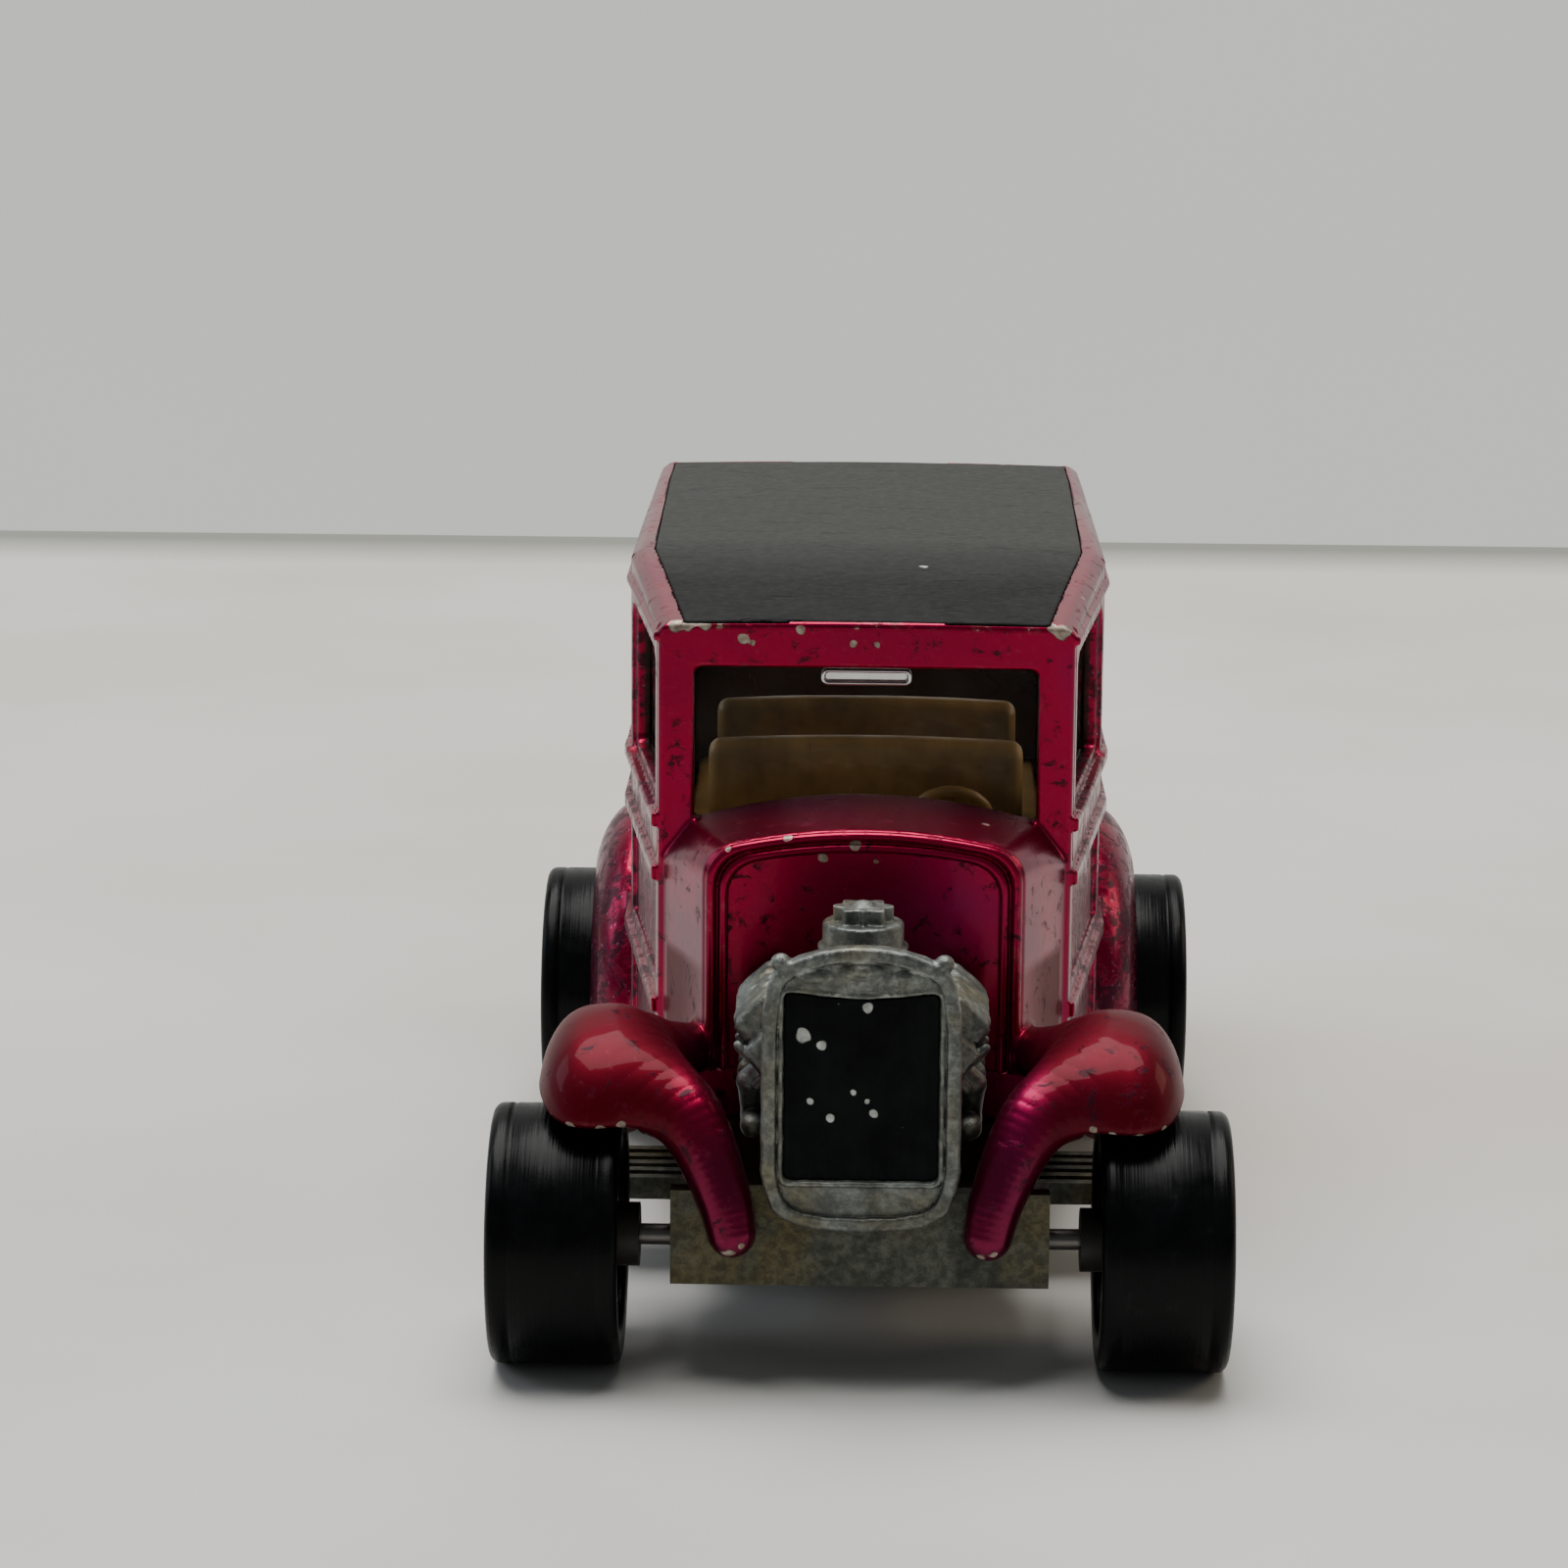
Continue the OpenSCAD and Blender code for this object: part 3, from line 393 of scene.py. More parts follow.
def cowl_planes(p, g):
    """Flared sides and a crowned top that rises a little towards the windshield."""
    x, s, z = p
    side = (x - 6.98) * 0.9364 - (s - 7.3) * 0.3511 + g
    top = (z - 21.5 - 0.05 * (s - 7) + x * x / 51) * 0.985 + g
    return side, top


def cowl_field(p):
    s, z = p[1:]
    side, top = cowl_planes(p, 0)
    rim = smooth_max(side, top, 1.4)
    facet = (side + top) * 0.7071 + 0.3 + 0.09 * (s - 7)
    ends = np.maximum(7.1 - s, s - WINDSHIELD - 1)
    d = smooth_max(smooth_max(rim, facet, 0.15), ends, 0.3)
    # sunk firewall inside two beads
    d = cut(d, np.maximum(rim + 0.98, s - 7.36), 0.14)
    d = smooth_min(d, length(rim + 0.26, s - 7.1) - 0.2, 0.04)
    d = smooth_min(d, length(rim + 0.76, s - 7.1) - 0.2, 0.04)
    inner_side, inner_top = cowl_planes(p, WALL)
    hollow = smooth_max(smooth_max(inner_side, inner_top, 1.2), 7 + WALL + 0.2 - s, 0.4)
    d = cut(d, hollow, 0.2)
    return smooth_max(d, 10.7 - z, 0.2)


# x, s, z and radius along the front fender's horn
HORN = np.array(((9.9, 1.6, 12.0, 2.2), (8.5, -0.9, 12.05, 1.75), (7.3, -2.2, 11.5, 1.5),
                 (6.55, -2.9, 10.4, 1.35), (6.0, -3.35, 9.2, 1.22), (5.55, -3.75, 8.0, 1.12),
                 (5.3, -4.0, 6.85, 1.02)))


def tyre_space(p, s, r):
    """Room for a tyre to turn in, with its axle at s."""
    return np.maximum(length(p[1] - s, p[2] - r) - r - TYRE_GAP, TYRE_X - TYRE_GAP - p[0])


def below_tyre_space(p, s, r):
    """The same room carried straight down below the axle."""
    across = np.maximum(p[2] - r, TYRE_X - TYRE_GAP - p[0])
    return np.maximum(across, np.abs(p[1] - s) - r - TYRE_GAP)


def front_fender(p):
    """A blunt dome over the tyre that runs down into a horn in front of the base."""
    x, s, z = p
    dome = squarish(p, (11.0, 1.6, 10.3), (2.7, 5.2, 4.45), 2.5)
    dome = smooth_min(dome, capsule(p, (10.9, 4.0, 11.2), (10.9, 7.7, 9.5), 2.6, 1.9), 0.8)
    lip = 11.0 + 0.05 * (x - 11.3) ** 2 - 0.8 * np.maximum(s - 3, 0)
    dome = cut(dome, z - lip, 0.35)
    dome = smooth_min(dome, capsule(p, (9.0, 4.5, 11.8), (7.6, 7.6, 11.6), 1.9, 1.1), 1.0)
    # the horn is a broad tongue, made as many short rods along a softened line
    even = np.linspace(0, len(HORN) - 1, 25)
    line = np.stack([np.interp(even, np.arange(len(HORN)), HORN[:, i]) for i in range(4)], 1)
    for _ in range(2):
        line[1:-1] = (line[:-2] + 2 * line[1:-1] + line[2:]) / 4
    trunk = capsule(p, line[0][:3], line[1][:3], line[0][3], line[1][3])
    for a, b in zip(line[1:], line[2:]):
        trunk = np.minimum(trunk, capsule(p, a[:3], b[:3], a[3], b[3]))
    d = smooth_min(dome, trunk, 1.6)
    d = cut(d, tyre_space(p, 0, FRONT_R), 0.3)
    d = cut(d, below_tyre_space(p, 0, FRONT_R), 0.3)
    return cut(d, np.maximum(np.maximum(x - 7.9, z - 8.53), np.abs(s) - 3.53), 0.1)


def rear_fender(p):
    x, s, z = p
    along = np.abs(s - REAR_S)
    r = np.where(z > REAR_R, length(along, z - REAR_R), along)
    u, v = np.maximum(r - 5.6, 0.3) / 4.0, np.maximum(x - 11.1, 0.2) / 2.5
    k0, k1 = length(u, v), length(u / 4.0, v / 2.5)
    d = np.maximum(k0 * (k0 - 1) / k1, 10.5 - x)
    return smooth_max(d, 4.8 - z, 0.5)


POST_TOP, POST_R = 13.4, 1.6
COVER_THICK = 0.24


def body_field(p):
    x, s, z = p
    d = inside_box(p, (-1, 11, 5), (13, 62, 32), cab_field)
    d = smooth_min(d, inside_box(p, (-1, 5.5, 9), (11, 15, 24), cowl_field), 0.25)
    d = smooth_min(d, inside_box(p, (3, -6.5, 4), (15.5, 12, 16.5), front_fender), 0.5)
    d = smooth_min(d, inside_box(p, (9.5, 28, 3), (15.5, 52, 17.5), rear_fender), 0.45)
    d = cut(d, tyre_space(p, REAR_S, REAR_R), 0.25)
    d = cut(d, below_tyre_space(p, REAR_S, REAR_R), 0.25)
    # posts that the rivets hold
    for post, low in ((9, 5.03), (57.8, 4.43)):
        ends = np.abs(z - (POST_TOP + low) / 2) - (POST_TOP - low) / 2
        d = np.minimum(d, np.maximum(length(x, s - post) - POST_R, ends))
    recess = np.maximum(cover_edge(p) - 0.03, -(cab_roof(p) + COVER_THICK + 0.03))
    return cut(np.maximum(d, z - ROOF), recess, 0.02)


def cover_edge(p):
    """The roof covering is drawn in from the roof's sides, least at its ends."""
    s = p[1]
    side = cab_side(p) + 1.15 - 0.4 * np.clip((s - PILLAR) / 25, 0, 1)
    return np.maximum(side, np.maximum(WINDSHIELD + 0.2 - s, s - TAIL + 0.4))


def cover_field(p):
    """Textured covering, a skin over the roof."""
    roof = cab_roof(p)
    return smooth_max(smooth_max(cover_edge(p), roof, 0.1), -(roof + COVER_THICK), 0.02)


# ---------------------------------------------------------------- radiator and engine

# Half the shell's outline, x and z, carried a little past the middle
RADIATOR = ((0, 19.15), (1.0, 19.1), (1.8, 18.95), (2.6, 18.7), (3.15, 18.42), (3.6, 18.0),
            (3.9, 17.4), (4.05, 16.5), (4.13, 15), (4.13, 9.6), (4.0, 8.8), (3.67, 8.0),
            (3.2, 7.55), (2.6, 7.25), (1.4, 7.06), (0, 7.02), (-1, 7.02), (-1, 19.15))
RADIATOR_FRONT = box_mm("radiator_shell")[0][1]


def radiator_field(p):
    x, s, z = p
    outline = polygon(x, z, RADIATOR)
    d = smooth_max(outline, np.maximum(RADIATOR_FRONT + 0.12 - s, s + 3.53), 0.28)
    # everything inside the rim bead is sunk, least at the crown
    floor_s = RADIATOR_FRONT + np.where(z > 17.2, 0.26, 0.42)
    d = cut(d, np.maximum(outline + 0.62, s - floor_s), 0.16)
    grille = rect(x, z, 0, 13.2, 3.2, 4.0, 0.3)
    grille = smooth_max(grille, z - 16.95 - 0.035 * x * x, 0.15)
    frame_bead = length(grille - 0.12, s - RADIATOR_FRONT - 0.38) - 0.13
    d = smooth_min(d, frame_bead, 0.1)
    d = cut(d, np.maximum(grille, s - RADIATOR_FRONT - 0.66), 0.1)
    # plain boss and lumps of the crown
    d = smooth_min(d, ellipsoid(p, (0, RADIATOR_FRONT + 0.3, 18.15), (0.85, 0.24, 0.42)), 0.1)
    d = smooth_min(d, ellipsoid(p, (0, RADIATOR_FRONT + 0.14, 18.15), (0.45, 0.14, 0.22)), 0.05)
    d = smooth_min(d, ellipsoid(p, (1.95, RADIATOR_FRONT + 0.28, 17.9), (0.7, 0.16, 0.26)), 0.15)
    d = smooth_min(d, ellipsoid(p, (3.35, RADIATOR_FRONT + 0.6, 18.45), (0.42, 0.4, 0.36)), 0.2)
    core = block((x, s, z), (-3.2, -3.7, 8.53), (3.2, -1.9, 17.5), 0.3)
    fins = 0.06 * np.cos(z * 2 * math.pi / 0.55) * (s > -3.2)
    return smooth_min(d, core + fins, 0.12) + lumps(p, 3.1, 0.02)


def lumps(p, per_mm, height):
    """The uneven skin of a small casting."""
    x, s, z = (q * per_mm for q in p)
    across = np.sin(x * 1.3 + 1.1 * np.sin(z)) * np.sin(s * 1.1 + 0.4)
    return height * (across + np.sin(z * 1.2 + 1.3 * np.sin(s * 0.9))) * 0.6


def engine_field(p):
    x, s, z = p
    d = block(p, (-2.6, -1.5, 6.4), (2.6, 6.5, 14.0), 0.4)
    d = smooth_min(d, block(p, (-2.6, 2.2, 5.03), (2.6, 5.6, 7), 0.3), 0.2)
    # a bank, in its own tilted frame: across, along, up
    tilt = math.radians(42)
    du, dz = x - 1.9, z - 12.5
    u = du * math.cos(tilt) - dz * math.sin(tilt)
    w = du * math.sin(tilt) + dz * math.cos(tilt)
    q = (u, s, w)
    d = smooth_min(d, block(q, (-1.6, -1.0, 0), (1.6, 6.0, 3.0), 0.3), 0.25)
    cover = block(q, (-1.15, -0.7, 2.6), (1.15, 5.7, 4.15), 0.5)
    cover = cover + 0.07 * np.cos(s * 2 * math.pi / 1.1) * (w > 3.2)
    d = smooth_min(d, cover, 0.15)
    for bolt in (-0.55, 0.9, 2.5, 4.1, 5.55):
        d = smooth_min(d, capsule(q, (1.45, bolt, 2.6), (1.45, bolt, 3.25), 0.28, 0.22), 0.08)
        d = smooth_min(d, capsule(q, (1.3, bolt, 1.5), (2.05, bolt, 1.5), 0.3, 0.24), 0.1)
    # intake manifold, carburettor, timing cover, fan and pulleys
    d = smooth_min(d, block(p, (-1.9, -0.3, 13.4), (1.9, 5.3, 16.6), 0.5), 0.4)
    d = smooth_min(d, np.maximum(length(x, s - 2) - 1.25, np.abs(z - 16.6) - 0.85), 0.2)
    front = np.maximum(length(x, z - 12.6) - 1.5, np.abs(s + 1.55) - 0.25)
    d = smooth_min(d, front, 0.15)
    fan = np.maximum(length(x, z - 9.6) - 1.95, np.abs(s + 1.6) - 0.14)
    return smooth_min(d, fan, 0.1) + lumps(p, 2.6, 0.05)


def header_field(p):
    """Exhaust pipes of one side: four short bends into a collector that runs down and back."""
    d = np.full(np.shape(p[0]), 9.0)
    for i in range(4):
        s = -0.2 + i * 1.7
        d = smooth_min(d, capsule(p, (4.0, s, 13.1), (4.75, s + 0.1, 12.3), 0.5, 0.5), 0.12)
        d = smooth_min(d, capsule(p, (4.75, s + 0.1, 12.3), (4.6, s + 0.9, 10.7), 0.48, 0.46), 0.12)
    d = smooth_min(d, capsule(p, (4.55, -0.6, 10.5), (4.5, 5.6, 10.4), 0.52, 0.62), 0.2)
    return np.maximum(d, 1.0 - p[0])


def cleaner_field(p):
    """Air cleaner: a lip, a band and a lobed cap."""
    x, s, z = p
    r, turn = length(x, s - 2), np.arctan2(s - 2, x)
    d = rect(r, z, 0, 17.66, 1.92, 0.12, 0.1)
    d = smooth_min(d, rect(r, z, 0, 18.2, 1.72, 0.56, 0.16), 0.1)
    cap = np.maximum(r - 1.12 - 0.16 * np.cos(turn * 7), np.abs(z - 19.0) - 0.42)
    d = smooth_min(d, cap, 0.18)
    return smooth_min(d, ellipsoid(p, (0, 2, 19.35), (0.5, 0.5, 0.3)), 0.15)


# ---------------------------------------------------------------- interior

def interior_field(p):
    x, s, z = p
    ax = np.abs(x)
    d = block((x, s, z), (-9, 14, 9.6), (9, 37.3, 10.3), 0.1)
    d = np.minimum(d, block(p, (-9, 35.5, 9.6), (9, 36.7, 14.1), 0.1))
    d = np.minimum(d, block(p, (-9, 35.5, 13.43), (9, 58.5, 14.13), 0.1))
    for back, top, cushion in ((24.0, 22.4, 6.5), (36.0, 22.0, 6.2)):
        lean = (z - 18) * 0.06
        crown = 0.004 * x * x
        seat = block((x, s - lean, z + crown), (-7.3, back - 1.7, 13.6), (7.3, back - 0.1, top), 0.55)
        pleats = 0.05 * np.cos(x * 2 * math.pi / 1.7) * (ax < 6.4) * (z < top - 1.2)
        d = smooth_min(d, seat + pleats, 0.2)
        d = smooth_min(d, block(p, (-7.3, back - cushion, 13.8), (7.3, back - 1, 16.2), 0.6), 0.3)
        d = np.minimum(d, block(p, (-7.1, back - cushion + 1, 9.7), (7.1, back - 0.4, 15), 0.1))
    d = smooth_min(d, block(p, (-7.3, 14, 9.7), (7.3, 15.2, 19), 0.35), 0.15)
    # steering wheel and column on the left of the car
    tilt = math.radians(-60)
    u, v, w = x - 3.9, s - 18.2, z - 19.6
    v, w = v * math.cos(tilt) + w * math.sin(tilt), w * math.cos(tilt) - v * math.sin(tilt)
    ring = length(length(u, v) - 1.75, w) - 0.27
    spokes = np.minimum(*(rect(q, w, 0, -0.05, 0.16, 0.14, 0.1) for q in (v, u)))
    ring = smooth_min(ring, np.maximum(spokes, length(u, v) - 1.7), 0.08)
    ring = smooth_min(ring, np.maximum(length(u, v) - 0.42, np.abs(w + 1.9) - 2.0), 0.12)
    return smooth_max(np.minimum(d, ring), cab_side((ax, s, z)) + WALL + 0.25, 0.1)


# ---------------------------------------------------------------- wheels

def hub_field(q, r, w, bore):
    """Five-spoke hub. q is (out from the tyre's inner face, along, up) from the wheel's centre."""
    out, u, v = q
    rho, turn = length(u, v), np.arctan2(u, v)
    face = r - 1.28
    d = rect(rho, out, face - 0.3, 3.75, 0.3, 0.8, 0.16)
    d = smooth_min(d, rect(rho, out, 0, 3.15, face - 0.1, 0.2, 0.05), 0.15)
    cone = np.maximum(rho - 1.3 + (out - 3.6) * 0.18, np.abs(out - (w + 2.6) / 2) - (w - 3.2) / 2)
    d = smooth_min(d, cone, 0.3)
    sector = np.mod(turn + math.pi / 5, 2 * math.pi / 5) - math.pi / 5
    along, across = rho * np.cos(sector), rho * np.sin(sector)
    height = 4.35 - (along - 1) * 0.12
    thick = np.abs(out - (height + 3) / 2) - (height - 3.2) / 2
    spoke = length(np.maximum(np.abs(across) - 0.38, 0), np.maximum(thick, 0))
    d = smooth_min(d, np.maximum(spoke - 0.16, along - face + 0.2), 0.22)
    gap = np.mod(turn, 2 * math.pi / 5) - math.pi / 5
    hole = length(rho * np.cos(gap) - (1.5 + face) / 2, rho * np.sin(gap)) - (face - 1.5) / 2 + 0.55
    d = cut(d, hole, 0.14)
    return cut(d, rho - bore, 0.05)


def lathe(name, profile, centre_s, centre_z, sign, start_x, steps=128):
    """Turns (radius, outwards) points about X. The profile is closed."""
    turn = np.linspace(0, 2 * math.pi, steps, endpoint=False)
    rings = [np.stack([np.full(steps, sign * (start_x + out)),
                       centre_s + r * np.cos(turn), centre_z + r * np.sin(turn)], 1)
             for r, out in profile]
    count = len(rings)
    faces = []
    for i in range(count):
        a, b = i * steps, (i + 1) % count * steps
        j = np.arange(steps)
        k = (j + 1) % steps
        ring = np.stack([a + j, a + k, b + k, b + j], 1)
        faces.append(ring if sign > 0 else ring[:, ::-1])
    return new_mesh(name, np.concatenate(rings), np.concatenate(faces))


def arc(centre, radius, a0, a1, n=5):
    """Points of a corner round, angles in degrees."""
    return [(centre[0] + radius * math.cos(a), centre[1] + radius * math.sin(a))
            for a in np.radians(np.linspace(a0, a1, n))]


def tyre_profile(r, w):
    """A flat tread with small shoulders, crowned side walls and a deep well for the hub."""
    lip = r - 1.25
    points = [(1.42, 1.9), (lip - 0.4, 1.9), (lip - 0.05, 0.45)]
    points += arc((lip + 0.25, 0.32), 0.3, 180, 270, 5)
    points += arc((r - 0.42, 0.42), 0.42, -90, 0, 7)
    points += [(r, 0.8), (r - 0.03, 0.84), (r - 0.03, 0.98), (r, 1.02)]
    points += [(r, w - 1.02), (r - 0.03, w - 0.98), (r - 0.03, w - 0.84), (r, w - 0.8)]
    points += arc((r - 0.42, w - 0.42), 0.42, 0, 90, 7)
    points += arc((lip + 0.25, w - 0.3), 0.3, 90, 180, 5)
    points += [(lip, 2.93), (1.42, 2.93)]
    return points


# ---------------------------------------------------------------- materials

class Look:
    """A procedural material being built. Texture scales are given in features per millimetre."""

    def __init__(self, name, **fixed):
        self.mat = bpy.data.materials.new(name)
        self.mat.use_nodes = True
        self.tree = self.mat.node_tree
        self.shader = self.tree.nodes["Principled BSDF"]
        for socket, value in fixed.items():
            self.shader.inputs[socket.replace("_", " ")].default_value = value
        self.where = self.tree.nodes.new("ShaderNodeTexCoord").outputs["Object"]
        self.relief = None

    def put(self, target, value):
        if isinstance(value, bpy.types.NodeSocket):
            self.tree.links.new(value, target)
        else:
            target.default_value = value

    def stretched(self, stretch):
        node = self.tree.nodes.new("ShaderNodeMapping")
        node.inputs["Scale"].default_value = stretch
        self.tree.links.new(self.where, node.inputs["Vector"])
        return node.outputs["Vector"]

    def noise(self, per_mm, detail=2.0, rough=0.5, stretch=None, distortion=0.0):
        node = self.tree.nodes.new("ShaderNodeTexNoise")
        node.inputs["Scale"].default_value = per_mm / MM
        node.inputs["Detail"].default_value = detail
        node.inputs["Roughness"].default_value = rough
        node.inputs["Distortion"].default_value = distortion
        self.tree.links.new(self.stretched(stretch) if stretch else self.where, node.inputs["Vector"])
        return node.outputs["Fac"]

    def attribute(self, name):
        node = self.tree.nodes.new("ShaderNodeAttribute")
        node.attribute_name = name
        return node.outputs["Fac"]

    def times(self, a, b):
        return self.math("MULTIPLY", a, b)

    def plus(self, a, b):
        return self.math("ADD", a, b)

    def less(self, a, b):
        return self.math("SUBTRACT", a, b)

    def chipped(self):
        """Where the piece's marked chips are."""
        return self.ramp(self.attribute("chip"), (0.45, 0.0), (0.55, 1.0))

    def math(self, op, a, b=0.0, clamp=False):
        node = self.tree.nodes.new("ShaderNodeMath")
        node.operation = op
        node.use_clamp = clamp
        self.put(node.inputs[0], a)
        self.put(node.inputs[1], b)
        return node.outputs[0]

    def ramp(self, socket, *stops):
        node = self.tree.nodes.new("ShaderNodeValToRGB")
        elements = node.color_ramp.elements
        while len(elements) < len(stops):
            elements.new(0.5)
        for element, (place, value) in zip(elements, stops):
            element.position = place
            element.color = (value, value, value, 1) if isinstance(value, (int, float)) else (*value, 1)
        self.tree.links.new(socket, node.inputs["Fac"])
        return node.outputs["Color"]

    def mix(self, factor, a, b):
        node = self.tree.nodes.new("ShaderNodeMix")
        node.data_type = "RGBA"
        for socket, value in ((node.inputs[0], factor), (node.inputs[6], a), (node.inputs[7], b)):
            if isinstance(value, tuple):
                value = (*value, 1)
            self.put(socket, value)
        return node.outputs[2]

    def bump(self, height, depth_mm, strength=1.0):
        node = self.tree.nodes.new("ShaderNodeBump")
        node.inputs["Strength"].default_value = strength
        node.inputs["Distance"].default_value = depth_mm * MM
        self.tree.links.new(height, node.inputs["Height"])
        if self.relief:
            self.tree.links.new(self.relief, node.inputs["Normal"])
        self.relief = node.outputs["Normal"]

    def done(self, **linked):
        for socket, value in linked.items():
            self.tree.links.new(value, self.shader.inputs[socket.replace("_", " ")])
        if self.relief:
            self.tree.links.new(self.relief, self.shader.inputs["Normal"])
        return self.mat


def candy_paint():
    """Clear crimson over bright metal with dark mottles and chips to bare zinc. Painted shade: a darker
    purple on sideways faces and low down on the horns, a darker tint on the front fenders and near black
    inside the cab. Painted glints: pale lavender dots.
    """
    look = Look("candy_paint", Coat_Weight=0.12, Coat_Roughness=0.08, Specular_IOR_Level=0.2)
    satin_and_shade, aged_with_glints = look.attribute("satin_and_shade"), look.attribute("aged_with_glints")
    drift = look.noise(0.09, 3, 0.6)
    tint = look.ramp(drift, (0.3, (0.22, 0.001, 0.03)), (0.52, (0.31, 0.0012, 0.036)),
                     (0.72, (0.26, 0.002, 0.07)))
    # painted shade: a darker purple on faces turned sideways and on the horns low down
    purple_shade = look.ramp(look.noise(0.2, 4, 0.6), (0.3, 0.35), (0.6, 1.0))
    purple_shade = look.math("MAXIMUM", look.times(look.attribute("side_on"), purple_shade), look.attribute("low"))
    tint = look.mix(purple_shade, tint, (0.12, 0.006, 0.034))
    # painted shade: the front fenders are given a darker tint
    tint = look.mix(look.times(satin_and_shade, 0.9), tint, (0.085, 0.0008, 0.006))
    mottle = look.plus(look.noise(1.0, 6, 0.74, distortion=0.5), look.times(aged_with_glints, 0.09))
    stain = look.ramp(mottle, (0.58, 0.0), (0.65, 0.9))
    colour = look.mix(stain, tint, (0.035, 0.003, 0.014))
    # painted glints: pale lavender dots, a few everywhere and more on the cab's sides and the rear
    # fenders
    painted_glint = look.ramp(look.noise(3.0, 3, 0.6), (0.62, 0.0), (0.68, 1.0))
    painted_glint = look.times(painted_glint, look.plus(look.times(aged_with_glints, 0.3), 0.03))
    colour = look.mix(painted_glint, colour, (0.55, 0.16, 0.36))
    wear = look.ramp(look.noise(0.8, 5, 0.7), (0.48, 0.0), (0.64, 1.0))
    wear = look.times(look.attribute("edge_wear"), wear)
    wear = look.times(wear, look.less(1.0, look.times(satin_and_shade, 0.55)))
    rub = look.ramp(wear, (0.25, 0.0), (0.8, 0.5))
    colour = look.mix(rub, colour, (0.3, 0.07, 0.09))
    chip = look.math("MAXIMUM", look.ramp(wear, (0.84, 0.0), (0.92, 1.0)), look.chipped())
    bare = look.ramp(look.noise(2.5, 4, 0.6), (0.35, (0.2, 0.15, 0.11)), (0.65, (0.5, 0.42, 0.36)))
    colour = look.mix(chip, colour, bare)
    # painted shade: the inside of the cab is made near black
    colour = look.mix(look.times(look.attribute("inner"), 0.9), colour, (0.02, 0.014, 0.009))
    grit = look.noise(5.0, 3, 0.6)
    rough = look.plus(look.ramp(drift, (0.3, 0.25), (0.7, 0.34)), look.times(stain, 0.2))
    rough = look.plus(rough, look.times(satin_and_shade, 0.28))
    rough = look.math("ADD", rough, look.times(chip, 0.15), clamp=True)
    metal = look.less(look.less(0.9, look.times(chip, 0.35)), look.times(stain, 0.3))
    look.bump(look.noise(0.35, 3, 0.5), 0.05, 0.5)
    look.bump(look.times(grit, look.plus(stain, 0.15)), 0.035, 0.7)
    look.bump(look.less(1.0, chip), 0.03, 0.8)
    return look.done(Base_Color=colour, Roughness=rough, Metallic=metal)


def roof_black():
    """Thick matt black with fine grain, pits drawn out across the car, and a lighter grey towards its
    flat rear, partly painted sheen and partly dusty patches.
    """
    look = Look("roof_black", Specular_IOR_Level=0.12)
    grain = look.noise(2.2, 5, 0.65)
    pits = look.ramp(look.noise(0.8, 3, 0.55, stretch=(0.5, 1.4, 1)), (0.3, 0.0), (0.38, 1.0))
    colour = look.ramp(look.noise(0.25, 4, 0.6), (0.35, (0.004, 0.004, 0.0045)),
                       (0.7, (0.01, 0.01, 0.0105)))
    # painted sheen: lighter grey towards the flat rear, broken up in dusty patches
    dust_and_sheen = look.ramp(look.noise(1.6, 6, 0.7), (0.3, 0.65), (0.7, 1.0))
    dust_and_sheen = look.times(look.attribute("dust_and_sheen"), dust_and_sheen)
    colour = look.mix(dust_and_sheen, colour, (0.04, 0.042, 0.038))
    colour = look.mix(look.chipped(), colour, (0.5, 0.48, 0.42))
    look.bump(pits, 0.12, 0.9)
    look.bump(grain, 0.05, 0.6)
    return look.done(Base_Color=colour, Roughness=look.ramp(grain, (0.3, 0.55), (0.7, 0.75)))


def shade(colour, factor):
    """A colour made lighter or darker."""
    return tuple(min(1.0, factor * c) for c in colour)


def cast_zinc(name, dark, light, patina, amount):
    """Raw die-cast metal: grey with darker hollows, rubbed edges and blotches of old patina."""
    look = Look(name, Metallic=0.75)
    blotch = look.noise(0.45, 5, 0.65, distortion=0.4)
    colour = look.ramp(blotch, (0.35, dark), (0.66, light))
    stain = look.times(look.ramp(look.noise(0.28, 4, 0.6), (0.46, 0.0), (0.62, 1.0)), amount)
    colour = look.mix(stain, colour, patina)
    colour = look.mix(look.times(look.attribute("hollow"), 0.6), colour, shade(dark, 0.3))
    rubbed = look.ramp(look.attribute("edge_wear"), (0.3, 0.0), (0.9, 0.55))
    colour = look.mix(rubbed, colour, shade(light, 1.5))
    grit = look.ramp(look.noise(2.4, 5, 0.7), (0.42, 0.55), (0.6, 0.0))
    colour = look.mix(grit, colour, shade(dark, 0.35))
    look.bump(look.noise(2.4, 5, 0.7), 0.08, 0.9)
    look.bump(look.noise(0.7, 3, 0.5), 0.06, 0.5)
    return look.done(Base_Color=colour, Roughness=look.ramp(blotch, (0.3, 0.36), (0.7, 0.5)))


def plain_metal(name, colour, rough, stretch=(4, 0.6, 0.6)):
    """Drawn, turned or plated metal with fine lines and faint smears."""
    look = Look(name, Metallic=1.0)
    smear = look.noise(0.5, 4, 0.6)
    tone = look.ramp(smear, (0.3, shade(colour, 0.75)), (0.7, colour))
    look.bump(look.noise(3.0, 3, 0.5, stretch=stretch), 0.01, 0.5)
    return look.done(Base_Color=tone, Roughness=look.ramp(smear, (0.3, rough), (0.7, rough + 0.14)))


def moulded(name, colour, rough, mottling=0.25, grain=0.02):
    """Moulded plastic: a soft sheen, faint flow marks and dust."""
    look = Look(name, Specular_IOR_Level=0.5)
    flow = look.noise(0.22, 4, 0.55, stretch=(1, 0.5, 1))
    tone = look.ramp(flow, (0.3, shade(colour, 1 - mottling)), (0.7, shade(colour, 1 + mottling)))
    look.bump(look.noise(2.5, 3, 0.55), grain, 0.5)
    gloss = look.ramp(look.noise(0.9, 3, 0.6), (0.3, rough), (0.7, rough + 0.15))
    return look.done(Base_Color=tone, Roughness=gloss)


